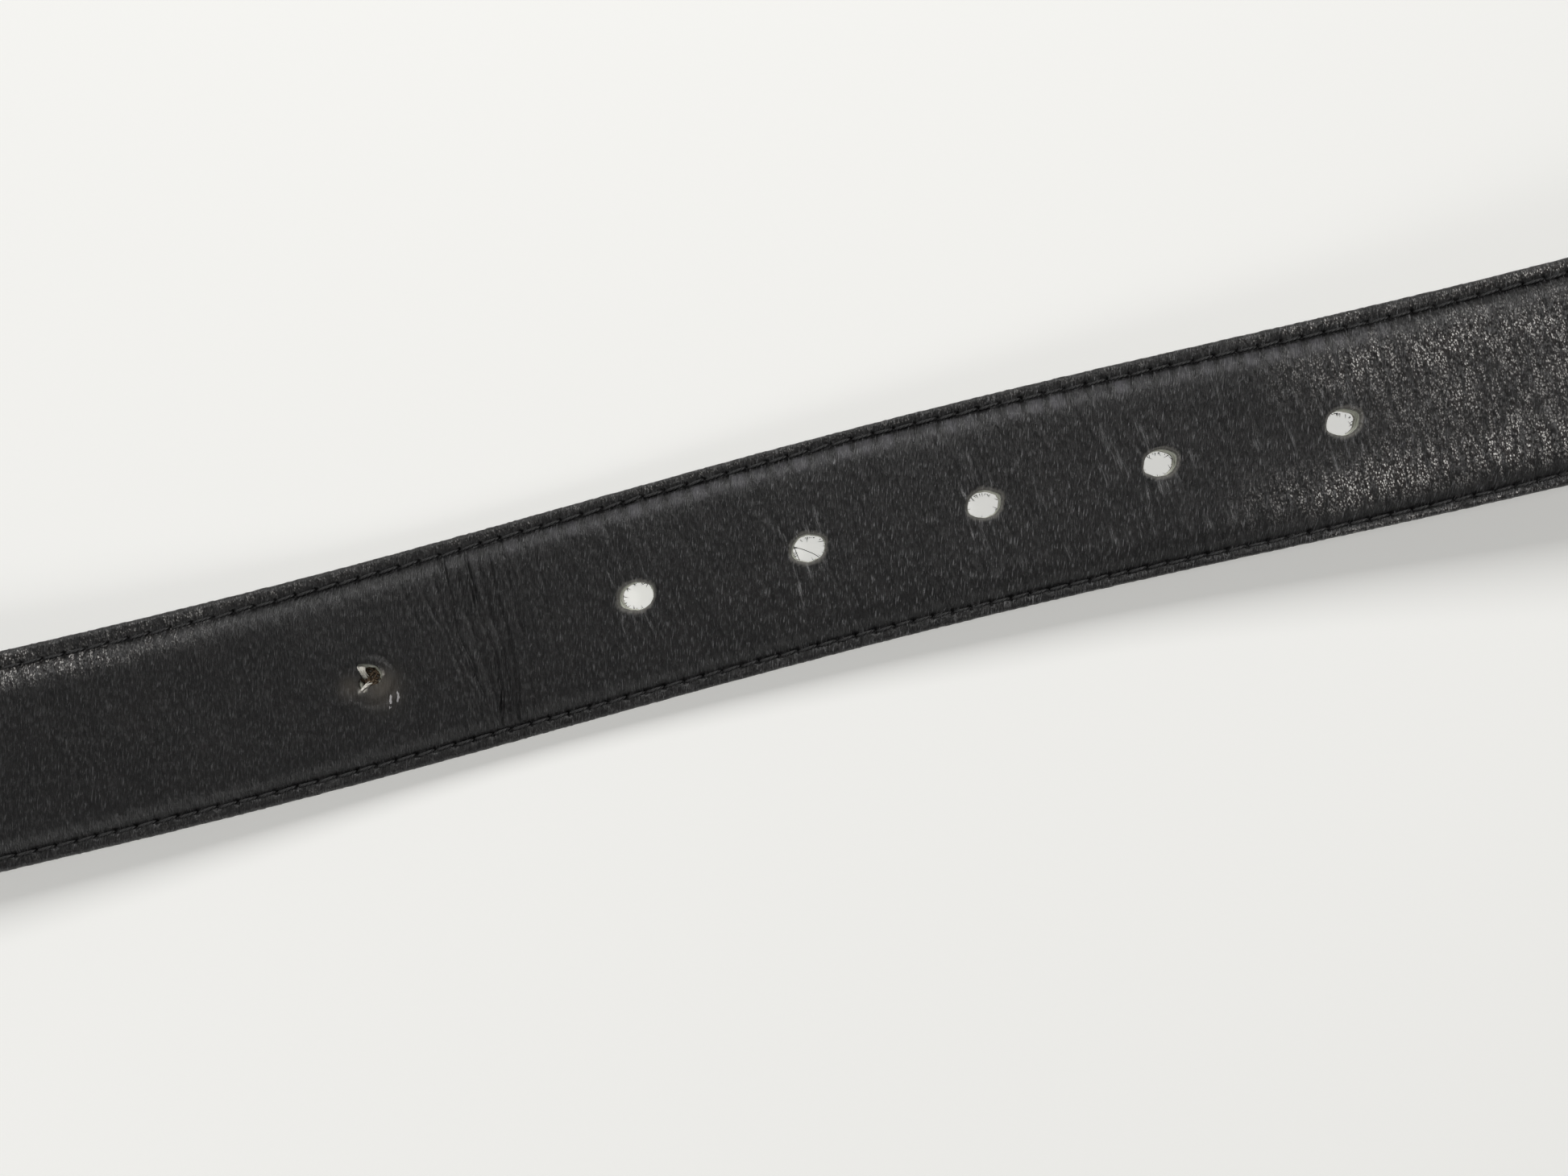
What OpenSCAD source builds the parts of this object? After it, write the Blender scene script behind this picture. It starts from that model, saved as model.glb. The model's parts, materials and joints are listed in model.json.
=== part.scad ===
// Leather dress belt with a padded, edge-stitched strap, a single-prong buckle and two keepers.
// The strap lies along X, face up, with the buckle at -X and the tip at +X.
// It is cut into stiff sections that are numbered from the buckle, and it bends at the gaps between them.

/* [Strap] */
// Width of the strap
strap_w = 30; // [25:1:35]
// Thickness of the strap at its stitched rim
rim_t = 2.8; // [2.8:0.1:3.4]
// Thickness of the strap over its padding
crown_t = 4.2; // [3.8:0.1:4.6]
// Thickness of the face leather
face_t = 1; // [0.8:0.1:1]
// Thickness of the lining leather
lining_t = 1; // [0.8:0.1:1]
// Width of the level rim beside the padding
rim_w = 3; // [3:0.1:4]
// Width of the slope from the padding's top down to the rim
shoulder_w = 3; // [2:0.5:3]

/* [Length] */
// Size of the belt, from the crossbar to the middle hole
belt_size = 950; // [800:50:1100]
// Length of the strap past its last hole
tip_run = 95; // [85:5:110]
// Height that the strap rises to where it leaves the table before the tip
tip_rise = 4.5; // [0:0.5:6]
// Slope of the tip above the table, in degrees
tip_slope = 6.5; // [0:0.5:8]

/* [Holes] */
// Number of punched holes
hole_count = 5; // [5:2:7]
// Distance from hole to hole
hole_pitch = 25; // [24:0.1:26]
// Radius of a punched hole
hole_r = 2.4; // [2:0.1:2.6]
// Radius of the extra hole that was made by hand
awl_r = 1.2; // [1:0.1:1.6]
// Distance from the extra hole to the first punched hole
awl_gap = 38.8; // [30:0.2:42]
// Distance of the extra hole from the middle of the strap
awl_off = 1; // [0:0.1:2]

/* [Stitching] */
// Distance from the edge of the strap to the stitching
stitch_in = 2; // [1.8:0.1:2.6]
// Radius of the thread
thread_r = 0.28; // [0.2:0.02:0.3]

/* [Buckle] */
// Width of the frame's bars
bar_w = 5; // [4:0.5:6]
// Thickness of the frame
frame_t = 4.4; // [4:0.2:5]
// Distance from the crossbar to the middle of the outer bar
frame_reach = 30; // [28:1:34]
// Radius of the crossbar
pin_r = 1.25; // [1:0.05:1.5]
// Width of the prong
prong_w = 3.4; // [3:0.2:3.8]

/* [Keepers] */
// Length of a keeper along the strap
keeper_len = 10; // [8:1:12]
// Thickness of a keeper's leather
keeper_t = 1.6; // [1.2:0.1:1.8]
// Height of the space over the strap for the tip to pass through
keeper_gap = 4.4; // [4.2:0.1:5]

/* [Hidden] */
$fn = 48;
SECTIONS = 9;

half_w = strap_w / 2;
board_top = rim_t - face_t;
pad_foot = half_w - rim_w;
pad_half = pad_foot - shoulder_w;
dome = 0.2;                       // the padding's top stands this much higher along the middle
stitch_y = half_w - stitch_in;
groove_w = 0.7;
ease = 0.02;                      // air round a thread in its groove
groove_d = 2 * (thread_r + ease);
thread_cut = 0.05;                // gap between two runs of thread at the tip

// Buckle end, measured from the crossbar's axis
wrap_in = pin_r + 0.1;            // the leather turns freely round the crossbar
wrap_out = wrap_in + face_t;
turn_lap = 0.05;                  // the turned leather is this much thicker than the face leather
leg_start = 6;                    // the crown starts here, under the slope from the turn
leg_end = 24;
pad_start = 14;
turnback_len = 58;
slot_len = 12;
slot_w = prong_w + 1.2;
cross_stitch_x = 16;
fixed_keeper_x = 22;
free_keeper_x = 44;
keeper_in = 0.5;                  // air between a keeper's side and the strap
keeper_under = 0.2;               // air between the free keeper and the strap's underside
tuck_t = board_top - face_t;      // the fixed keeper is pared to this where it is sewn in
lift = keeper_under + keeper_t;   // the free keeper holds the buckle end this far off the table
stiff_len = 112;                  // length of the first section

// Bending places. Each hinge axis lies in the middle of the strap's thickness.
hinge_z = 1.8;
flex_gap = 2;
crease_gap = 21;                  // the strap is creased this far before the first punched hole
bump = 7;                         // height of the low arch before the crease

frame_end = frame_reach + bar_w / 2;
holes_run = (hole_count - 1) * hole_pitch;
last_hole = belt_size + holes_run / 2;
first_hole = last_hole - holes_run;
tip_end = last_hole + tip_run;
crease = first_hole - crease_gap;
last_flex = last_hole - hole_pitch / 2;
mid_len = (crease - stiff_len) / 6;
// The crossbar stands here, so that the belt's middle is at the origin.
pin_x = (frame_end - tip_end) / 2;

// Distances from the crossbar to the ends of the sections, and the height of the strap's underside there
END_X = concat([0], [for (i = [0:6]) stiff_len + i * mid_len], [last_flex, tip_end]);
END_Z = [lift, lift, 0, 0, 0, 0, bump, 0, tip_rise,
         tip_rise + (tip_end - last_flex) * tan(tip_slope)];

function run_of(k) = norm([END_X[k] - END_X[k - 1], END_Z[k] - END_Z[k - 1]]);
function pitch_of(k) = atan2(END_Z[k] - END_Z[k - 1], END_X[k] - END_X[k - 1]);
function starts(k) = k == 1 ? leg_start : flex_gap / 2;
function stops(k) = k == SECTIONS ? run_of(k) : run_of(k) - flex_gap / 2;

// Height of the slope from the turn
function leg_z(x) = 2 * wrap_out - (2 * wrap_out - rim_t) * x / (leg_end - 2);

// Distances along section k to its holes, from the section's start
function holes_in(k) = k < 7 ? []
    : [for (i = [0:hole_count - 1]) let (x = first_hole + i * hole_pitch)
       if (x > END_X[k - 1] && x < END_X[k]) x - END_X[k - 1]];
function awl_in(k) = let (x = first_hole - awl_gap)
    x > END_X[k - 1] && x < END_X[k] ? [x - END_X[k - 1]] : [];

// Height of the strap's face at y: level at the rim, up a smooth shoulder, and slightly domed
function slope(s) = s * s * (3 - 2 * s);
function face_z(y) = let (a = abs(y), s = min(max((pad_foot - a) / shoulder_w, 0), 1))
    rim_t + (crown_t - dome - rim_t) * slope(s)
    + dome * max(0, 1 - pow(a / pad_foot, 2)) * slope(s);
pad_steps = [for (i = [-12:12]) i * pad_foot / 12];
top_line = [for (y = pad_steps) [y, face_z(y)]];
under_line = [for (p = top_line) [p[0], max(p[1] - face_t, board_top)]];
function backwards(list) = [for (i = [len(list) - 1:-1:0]) list[i]];
face_outline = concat(
    [[-half_w, board_top], [-half_w, rim_t]], top_line,
    [[half_w, rim_t], [half_w, board_top]], backwards(under_line));
// The same section with the padding's room filled
full_outline = concat([[-half_w, board_top], [-half_w, rim_t]], top_line,
                      [[half_w, rim_t], [half_w, board_top]]);

// Tip: two arcs that meet in a round nose
tip_arc_r = 30;
nose_r = 6;
arc_y = tip_arc_r - half_w;
nose_back = sqrt(pow(tip_arc_r - nose_r, 2) - arc_y * arc_y);
nose_angle = atan2(arc_y, nose_back);
arc_x = run_of(SECTIONS) - nose_back - nose_r;   // where the straight sides end
thread_turn = 360 / (2 * PI * (nose_r - stitch_in));   // degrees round the nose for each mm of thread
fade_start = arc_x - 8;
fade_end = arc_x + 9;
tall = 12;

// ---------- placing ----------

module in_section(k) {
    translate([pin_x + END_X[k - 1], 0, END_Z[k - 1] + hinge_z])
        rotate([0, -pitch_of(k), 0])
            translate([0, 0, -hinge_z])
                children();
}

// Draws a YZ outline as a bar from x0 to x1
module along_x(x0, x1) {
    translate([x0, 0, 0])
        rotate([90, 0, 90])
            linear_extrude(x1 - x0)
                children();
}

// Draws an XZ outline as a bar of width w across the strap
module across_y(w) {
    rotate([90, 0, 0])
        linear_extrude(w, center = true)
            children();
}

module box(x0, x1, w, z0, z1) {
    translate([x0, -w / 2, z0])
        cube([x1 - x0, w, z1 - z0]);
}

// ---------- cutters ----------

module hole_cutters(k) {
    for (x = holes_in(k))
        translate([x, 0, -1])
            cylinder(r = hole_r, h = tall);
    for (x = awl_in(k))
        translate([x, -awl_off, -1])
            cylinder(r = awl_r, h = tall);
}

// A row of thread or its groove along both rims, drawn from a small outline that stands on y = 0
module rim_rows(k, cut = 0) {
    x0 = k == 1 ? leg_end : flex_gap / 2;
    x1 = k == SECTIONS ? arc_x - cut : stops(k);
    for (side = [-1, 1])
        translate([0, side * stitch_y, 0])
            along_x(x0, x1)
                children();
    if (k == SECTIONS) {
        for (side = [-1, 1])
            translate([arc_x, -side * arc_y, 0])
                rotate([0, 0, side == 1 ? nose_angle : -90])
                    rotate_extrude(angle = 90 - nose_angle)
                        translate([tip_arc_r - stitch_in, 0])
                            children();
        translate([arc_x + nose_back, 0, 0])
            rotate([0, 0, cut * thread_turn - nose_angle])
                rotate_extrude(angle = 2 * (nose_angle - cut * thread_turn))
                    translate([nose_r - stitch_in, 0])
                        children();
    }
}

module top_grooves(k) {
    rim_rows(k)
        translate([-groove_w / 2, rim_t - groove_d])
            square([groove_w, 1]);
}

module bottom_grooves(k) {
    rim_rows(k)
        translate([-groove_w / 2, -1])
            square([groove_w, 1 + groove_d]);
}

// Keeps what is inside the belt's outline at the tip
module tip_plan() {
    lens_end = arc_x + tip_arc_r * cos(nose_angle);
    translate([0, 0, -1])
        linear_extrude(tall) {
            translate([0, -half_w])
                square([arc_x, strap_w]);
            intersection() {
                translate([arc_x, -half_w])
                    square([lens_end - arc_x, strap_w]);
                translate([arc_x, -arc_y])
                    circle(r = tip_arc_r, $fn = 96);
                translate([arc_x, arc_y])
                    circle(r = tip_arc_r, $fn = 96);
            }
            translate([arc_x + nose_back, 0])
                circle(r = nose_r);
        }
}

// Keeps what is under the tip's slope from height high down to height low
module under_fade(low, high) {
    end = run_of(SECTIONS) + 1;
    across_y(strap_w + 2)
        polygon([[0, -1], [0, high + 1], [fade_start, high + 0.01], [fade_end, low], [end, low], [end, -1]]);
}

// ---------- strap layers ----------

module face_layer(k) {
    if (k == 1)
        difference() {
            union() {
                across_y(strap_w)
                    turn_outline();
                along_x(leg_start, stops(1))
                    polygon(full_outline);
            }
            padding_layer(1);
            turn_hollow();
        }
    else if (k == SECTIONS)
        intersection() {
            difference() {
                intersection() {
                    along_x(starts(k), stops(k))
                        polygon(full_outline);
                    under_fade(rim_t, crown_t);
                }
                padding_layer(k);
            }
            tip_plan();
        }
    else
        along_x(starts(k), stops(k))
            polygon(face_outline);
}

module face_leather(k) {
    color([0.09, 0.09, 0.09])
        in_section(k)
            difference() {
                face_layer(k);
                hole_cutters(k);
                top_grooves(k);
                if (k == 1) {
                    box(-wrap_out - 1, slot_len, slot_w, -1, tall);
                    cross_grooves();
                    turnback_grooves();
                }
            }
}

// The strap's outline in XZ at the buckle end: turned round the crossbar and doubled under itself.
// Its top slopes down from the turn and runs on inside the strap.
module turn_outline() {
    polygon(concat(
        [for (a = [90:7.5:270]) [wrap_out * cos(a), wrap_out + wrap_out * sin(a)]],
        [[turnback_len, 0], [turnback_len, face_t], [leg_end, face_t], [leg_end, leg_z(leg_end)]]));
}

// The room inside the turn, which narrows from the crossbar to the core board
module turn_hollow() {
    across_y(strap_w + 2)
        polygon([[0, face_t + turn_lap], [0, 2 * wrap_out - face_t - turn_lap],
                 [pad_start, board_top], [turnback_len + 1, board_top], [turnback_len + 1, face_t],
                 [2 * turn_lap, face_t]]);
    translate([0, 0, wrap_out])
        rotate([90, 0, 0])
            cylinder(r = wrap_in, h = strap_w + 2, center = true);
}

module cross_grooves() {
    box(cross_stitch_x - groove_w / 2, cross_stitch_x + groove_w / 2, 2 * pad_half,
        crown_t - groove_d, tall);
    box(cross_stitch_x - groove_w / 2, cross_stitch_x + groove_w / 2, 2 * pad_half, -1, groove_d);
}

module turnback_grooves() {
    for (side = [-1, 1])
        translate([0, side * stitch_y, 0])
            box(leg_end, turnback_len + 1, groove_w, -1, groove_d);
}

module padding_layer(k) {
    x0 = k == 1 ? pad_start : starts(k);
    x1 = k == SECTIONS ? fade_end - 3 : stops(k);
    profile = concat(under_line, [[pad_foot, board_top], [-pad_foot, board_top]]);
    if (k == SECTIONS)
        intersection() {
            along_x(x0, x1)
                polygon(profile);
            under_fade(board_top, crown_t - face_t);
        }
    else
        along_x(x0, x1)
            polygon(profile);
}

module padding(k) {
    color([0.55, 0.54, 0.5])
        in_section(k)
            difference() {
                padding_layer(k);
                hole_cutters(k);
            }
}

module core_board(k) {
    x0 = k == 1 ? fixed_keeper_x + keeper_len + 1 : starts(k);
    color([0.62, 0.6, 0.54])
        in_section(k)
            difference() {
                if (k == SECTIONS)
                    intersection() {
                        box(x0, stops(k), strap_w, lining_t, board_top);
                        tip_plan();
                    }
                else
                    box(x0, stops(k), strap_w, lining_t, board_top);
                hole_cutters(k);
            }
}

module lining(k) {
    x0 = k == 1 ? turnback_len + 0.5 : starts(k);
    color([0.13, 0.12, 0.12])
        in_section(k)
            difference() {
                if (k == SECTIONS)
                    intersection() {
                        box(x0, stops(k), strap_w, 0, lining_t);
                        tip_plan();
                    }
                else
                    box(x0, stops(k), strap_w, 0, lining_t);
                hole_cutters(k);
                bottom_grooves(k);
            }
}

// The needle thread lies in the face's grooves and the bobbin thread in the lining's
module stitching(k) {
    color([0.04, 0.04, 0.04])
        in_section(k) {
            rim_rows(k, thread_cut)
                translate([0, rim_t - groove_d + thread_r + ease])
                    circle(r = thread_r, $fn = 16);
            rim_rows(k, thread_cut)
                translate([0, thread_r + ease])
                    circle(r = thread_r, $fn = 16);
        }
}

module turnback_stitching() {
    color([0.04, 0.04, 0.04])
        in_section(1)
            for (z = [crown_t - groove_d + thread_r + ease, thread_r + ease])
                translate([cross_stitch_x, 0, z])
                    rotate([90, 0, 0])
                        cylinder(r = thread_r, h = 2 * pad_half - 0.4, center = true, $fn = 16);
}

// ---------- keepers ----------

module rounded(w, z0, z1, r) {
    translate([-w / 2, z0 + r])
        square([w, z1 - z0 - 2 * r]);
    translate([-w / 2 + r, z0])
        square([w - 2 * r, z1 - z0]);
    for (y = [-w / 2 + r, w / 2 - r], z = [z0 + r, z1 - r])
        translate([y, z])
            circle(r = r);
}

// A leather loop from z0 to z1 on the inside, with its lower run of thickness low_t
module keeper_ring(z0, z1, low_t) {
    inner_w = strap_w + 2 * keeper_in;
    along_x(0, keeper_len)
        difference() {
            rounded(inner_w + 2 * keeper_t, z0 - low_t, z1 + keeper_t, min(2, low_t));
            rounded(inner_w, z0, z1, 0.5);
        }
}

module fixed_keeper() {
    color([0.09, 0.09, 0.09])
        in_section(1)
            translate([fixed_keeper_x, 0, 0])
                difference() {
                    keeper_ring(board_top, crown_t + keeper_gap, tuck_t);
                    box(-1, keeper_len + 1, strap_w, board_top - 0.01, board_top + 0.6);
                }
}

staple_len = 9;
staple_w = 1;
staple_t = 0.5;

module staple_shape() {
    top = -keeper_under;
    mid = keeper_len / 2;
    box(mid - staple_w / 2, mid + staple_w / 2, staple_len, top - staple_t, top);
    for (side = [-1, 1])
        translate([0, side * (staple_len - staple_t) / 2, 0])
            box(mid - staple_w / 2, mid + staple_w / 2, staple_t, top - 1.2, top - staple_t / 2);
}

module free_keeper() {
    color([0.09, 0.09, 0.09])
        in_section(1)
            translate([free_keeper_x, 0, 0])
                difference() {
                    keeper_ring(-keeper_under, crown_t + keeper_gap, keeper_t);
                    staple_shape();
                }
}

module free_keeper_staple() {
    color([0.75, 0.75, 0.76])
        in_section(1)
            translate([free_keeper_x, 0, 0])
                staple_shape();
}

// ---------- buckle ----------

side_y = half_w + keeper_in + bar_w / 2;
ear_r = 3;
ear_depth = 4;
corner_r = 7;
pin_z = lift + wrap_out;
// The frame leans down until its outer bar touches the table.
droop = asin((pin_z - frame_t / 2) / frame_end);

module at_crossbar() {
    translate([pin_x, 0, pin_z])
        rotate([0, -droop, 0])
            children();
}

module bar_outline() {
    dome_r = 3.5;
    intersection() {
        square([bar_w, frame_t], center = true);
        translate([0, frame_t / 2 - dome_r])
            circle(r = dome_r, $fn = 96);
    }
}

module buckle_frame() {
    arm_len = frame_reach - corner_r;
    color([0.74, 0.73, 0.7])
        at_crossbar()
            difference() {
                union() {
                    for (side = [-1, 1]) {
                        translate([0, side * side_y, 0])
                            along_x(-arm_len, 0)
                                bar_outline();
                        translate([0, side * side_y, 0])
                            rotate([90, 0, 0])
                                cylinder(r = ear_r, h = bar_w, center = true);
                        translate([-arm_len, side * (side_y - corner_r), 0])
                            rotate([0, 0, side == 1 ? 90 : 180])
                                rotate_extrude(angle = 90)
                                    translate([corner_r, 0])
                                        bar_outline();
                    }
                    translate([-frame_reach, 0, 0])
                        rotate([90, 0, 0])
                            linear_extrude(2 * (side_y - corner_r), center = true)
                                bar_outline();
                }
                rotate([90, 0, 0])
                    cylinder(r = pin_r, h = strap_w + 2 * (keeper_in + ear_depth), center = true);
            }
}

module crossbar() {
    color([0.6, 0.6, 0.62])
        at_crossbar()
            rotate([90, 0, 0])
                cylinder(r = pin_r, h = strap_w + 2 * (keeper_in + ear_depth), center = true);
}

module prong() {
    ring_r = 2.8;
    rest_z = frame_t / 2 + 0.03;
    color([0.74, 0.73, 0.7])
        at_crossbar()
            across_y(prong_w)
                difference() {
                    union() {
                        circle(r = ring_r);
                        polygon([[0, ring_r], [-7, 3.5], [-20, 4.5], [-frame_reach, 4.3],
                                 [-frame_end + 0.9, 3.7], [-frame_end + 0.3, 2.6],
                                 [-frame_end + 0.6, 2], [-frame_reach, rest_z],
                                 [-frame_reach + 6, 2.3], [-7, 1.2], [-1.8, -1], [0, 0]]);
                    }
                    circle(r = pin_r + 0.06);
                }
}

for (k = [1:SECTIONS]) {
    face_leather(k);
    padding(k);
    core_board(k);
    lining(k);
    stitching(k);
}
turnback_stitching();
fixed_keeper();
free_keeper();
free_keeper_staple();
buckle_frame();
crossbar();
prong();
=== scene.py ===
import bpy
import json
import math
import numpy as np
from mathutils import Matrix, Vector


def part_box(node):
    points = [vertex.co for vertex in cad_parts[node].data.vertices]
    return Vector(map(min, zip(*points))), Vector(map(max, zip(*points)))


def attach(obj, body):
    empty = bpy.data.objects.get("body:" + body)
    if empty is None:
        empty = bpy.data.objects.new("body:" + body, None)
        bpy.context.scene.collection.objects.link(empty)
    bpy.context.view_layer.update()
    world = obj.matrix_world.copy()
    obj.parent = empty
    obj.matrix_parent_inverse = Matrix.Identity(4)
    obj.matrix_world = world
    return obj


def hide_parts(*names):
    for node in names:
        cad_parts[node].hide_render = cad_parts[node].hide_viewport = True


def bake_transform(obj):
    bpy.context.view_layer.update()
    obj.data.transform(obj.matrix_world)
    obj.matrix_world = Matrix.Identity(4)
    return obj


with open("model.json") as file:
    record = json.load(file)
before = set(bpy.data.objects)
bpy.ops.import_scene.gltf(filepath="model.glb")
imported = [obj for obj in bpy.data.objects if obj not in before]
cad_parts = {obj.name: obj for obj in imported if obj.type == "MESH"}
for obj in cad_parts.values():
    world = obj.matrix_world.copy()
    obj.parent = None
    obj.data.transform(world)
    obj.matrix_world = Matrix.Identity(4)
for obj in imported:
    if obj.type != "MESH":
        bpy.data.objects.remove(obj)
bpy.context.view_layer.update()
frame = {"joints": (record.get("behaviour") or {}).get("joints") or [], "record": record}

# ---------- layout, in mm: along the strap from the crossbar, across it, and up from its underside ----------

MM = 0.001
HALF_W = 15.0
RIM_T, CROWN_T = 2.8, 4.2
SKIN_T = 1.0                        # face leather and lining
BOARD_TOP = 1.8
HINGE_Z = 1.8
WRAP_OUT = 2.35                     # outside radius of the leather round the crossbar
LEG_END = 22.0                      # where the leather off the crossbar has come down to the strap
TURNBACK = 58.0
SLOT_END, CROSS_STITCH = 12.0, 16.0 # the prong's slot, and the stitches across the turn-back
PAD_START, BOARD_START = 14.0, 33.0
FIXED_AT, FREE_AT = 22.0, 44.0      # where the keepers start
KEEPER_LEN, KEEPER_T = 10.0, 1.6
KEEPER_ROOM = 4.4                   # over the strap, for its tip
SIDE_AIR = 0.5                      # between the strap and what goes round it
LEVEL_TO = 38.0                     # how far past the first bend the strap stays level, for the free keeper
NOSE_IN = 2.0                       # the stitch line's distance from the edge round the tip
UP = [0, 0, 1.0]

JOINTS = {j["name"]: j for j in frame["joints"]}
MOUNTS = {m["name"]: m for m in frame["record"]["mounts"]}
bar_lo, bar_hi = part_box("crossbar")
tip_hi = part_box("lining_9")[1]
PIN_X, PIN_Z = ((bar_lo[k] + bar_hi[k]) / 2 / MM for k in (0, 2))
bends = np.array([JOINTS[f"bend_{k}"]["pos_m"] for k in range(1, 9)]) / MM
ENDS = np.array([0, *(bends[:, 0] - PIN_X), tip_hi.x / MM - PIN_X])       # the ends of the nine sections
END_H = np.array([bends[0, 2], *bends[:, 2], tip_hi.z / MM - SKIN_T + HINGE_Z]) - HINGE_Z
MIDS = (ENDS[1:-2] + ENDS[2:-1]) / 2                                      # middles of sections 2 to 8
HOLES = np.array([MOUNTS[f"hole_{i}"]["pos_m"][0] for i in range(1, 6)]) / MM - PIN_X
CREASE = ENDS[7]
TIP = ENDS[9]
AWL = (HOLES[0] - 39.3, -1.0)       # a hole made by hand
SEEN = (805.0, 1042.0)              # the stretch with the finest mesh

# The underside's height: the sections' ends, rounded over by a moving average
line_s = np.arange(-120.0, TIP + 120.0, 1.0)
corner_s = ENDS + np.eye(10)[1] * LEVEL_TO
end_slope = (END_H[9] - END_H[8]) / (ENDS[9] - ENDS[8])
line_h = np.interp(line_s, [*corner_s, TIP + 160], [*END_H, END_H[9] + 160 * end_slope])
window = np.hanning(81)
smooth_h = np.convolve(np.pad(line_h, 40, mode="edge"), window / window.sum(), mode="valid")
smooth_slope = np.gradient(smooth_h, line_s)


def base(s):
    return np.interp(s, line_s, smooth_h)


def bow(s):
    """The strap isn't quite straight: it wanders sideways by less than a millimetre."""
    return 0.96 * np.sin(2 * np.pi * (s - 887.4) / 218.1) * np.exp(-((s - 920) / 150) ** 4)


def place(s, t, h):
    """Along, across and up from the underside, in mm, to metres in the model's frame."""
    tilt = np.arctan(np.interp(s, line_s, smooth_slope))
    lean = bow(s + 0.5) - bow(s - 0.5)
    x = PIN_X + s - h * np.sin(tilt) - t * lean
    return np.stack([x, t + bow(s), base(s) + h * np.cos(tilt)], -1) * MM


# ---------- helpers ----------

def noise(u, v, seed):
    """Smooth noise from -1 to 1, with features about one unit across."""
    table = np.random.default_rng(seed).uniform(-1, 1, (256, 256))
    u, v = np.broadcast_arrays(u, v)
    iu, iv = np.floor(u).astype(int), np.floor(v).astype(int)
    fu, fv = u - iu, v - iv
    fu, fv = fu * fu * (3 - 2 * fu), fv * fv * (3 - 2 * fv)
    a, b = table[iu % 256, iv % 256], table[(iu + 1) % 256, iv % 256]
    c, d = table[iu % 256, (iv + 1) % 256], table[(iu + 1) % 256, (iv + 1) % 256]
    return (a * (1 - fu) + b * fu) * (1 - fv) + (c * (1 - fu) + d * fu) * fv


def bell(x, width):
    return np.exp(-(x / width) ** 2)


def ramp(x, lo, hi):
    """0 below lo, 1 above hi, smooth between."""
    f = np.clip((x - lo) / (hi - lo), 0, 1)
    return f * f * (3 - 2 * f)


def graded(*spans):
    """Positions in spans of (start, end, step). The nearest ones are moved to the sections' middles."""
    out = [np.linspace(a, b, max(1, round((b - a) / step)), endpoint=False) for a, b, step in spans]
    rows = np.append(np.concatenate(out), spans[-1][1])
    for edge in MIDS:
        rows[np.argmin(abs(rows - edge))] = edge
    return rows


def add_mesh(name, points, faces, material, uv, normals=None, **fields):
    """A smooth mesh object. points are metres; fields are values for each point."""
    mesh = bpy.data.meshes.new(name)
    mesh.from_pydata(points.tolist(), [], faces)
    mesh.shade_smooth()
    corner = np.empty(len(mesh.loops), int)
    mesh.loops.foreach_get("vertex_index", corner)
    mesh.uv_layers.new(name="belt").data.foreach_set("uv", uv[corner].astype(np.float32).ravel())
    for key, values in fields.items():
        mesh.attributes.new(key, "FLOAT", "POINT").data.foreach_set("value", values.astype(np.float32))
    if normals is not None:
        mesh.normals_split_custom_set(normals[corner].tolist())
    mesh.materials.append(material)
    obj = bpy.data.objects.new(name, mesh)
    bpy.context.scene.collection.objects.link(obj)
    return obj


def row_normals(points):
    """Unit normals of a lattice of points, outward on its first side."""
    n = np.cross(np.gradient(points, axis=0), np.gradient(points, axis=1))
    return n / np.maximum(np.linalg.norm(n, axis=-1, keepdims=True), 1e-12)


class Round:
    """A hole's outline: a radius for each direction, in degrees, from its centre."""

    def __init__(self, s, t, angles, radii):
        self.centre = np.array([s, t])
        self.angles, self.radii = np.asarray(angles, float), np.asarray(radii, float)

    def radius(self, angle):
        return np.interp(np.degrees(angle), self.angles, self.radii, period=360)

    def gap(self, s, t):
        ds, dt = s - self.centre[0], t - self.centre[1]
        return np.hypot(ds, dt) - self.radius(np.arctan2(dt, ds))

    def pull(self, s, t, shrink):
        angle = np.arctan2(t - self.centre[1], s - self.centre[0])
        r = self.radius(angle) - (shrink(angle) if callable(shrink) else shrink)
        return self.centre[0] + r * np.cos(angle), self.centre[1] + r * np.sin(angle)


class Slot:
    """A slot along the strap with round ends."""

    def __init__(self, start, end, r):
        self.start, self.end, self.r = start + r, end - r, r

    def gap(self, s, t):
        return np.hypot(s - np.clip(s, self.start, self.end), t) - self.r

    def pull(self, s, t, shrink):
        near = np.clip(s, self.start, self.end)
        d = np.maximum(np.hypot(s - near, t), 1e-6)
        return near + (s - near) / d * (self.r - shrink), t / d * (self.r - shrink)


def nearest_gap(cutters, s, t):
    return np.minimum.reduce([cutter.gap(s, t) for cutter in cutters])


def open_holes(s, t, cutters, shrinks):
    """Which cells of a lattice stay, and the lattice with each hole's edge pulled to its shrunk outline."""
    s, t = s.copy(), t.copy()
    mid_s = (s[1:, 1:] + s[:-1, :-1]) / 2
    mid_t = (t[1:, 1:] + t[:-1, :-1]) / 2
    keep = np.ones(mid_s.shape, bool)
    for cutter, shrink in zip(cutters, shrinks):
        inside = cutter.gap(mid_s, mid_t) < 0
        keep &= ~inside
        touch_in, touch_out = np.zeros(s.shape, bool), np.zeros(s.shape, bool)
        for di, dj in ((0, 0), (0, 1), (1, 0), (1, 1)):
            view = (slice(di, di + inside.shape[0]), slice(dj, dj + inside.shape[1]))
            touch_in[view] |= inside
            touch_out[view] |= ~inside
        edge = touch_in & touch_out
        s[edge], t[edge] = cutter.pull(s[edge], t[edge], shrink)
    return keep, s, t


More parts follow.
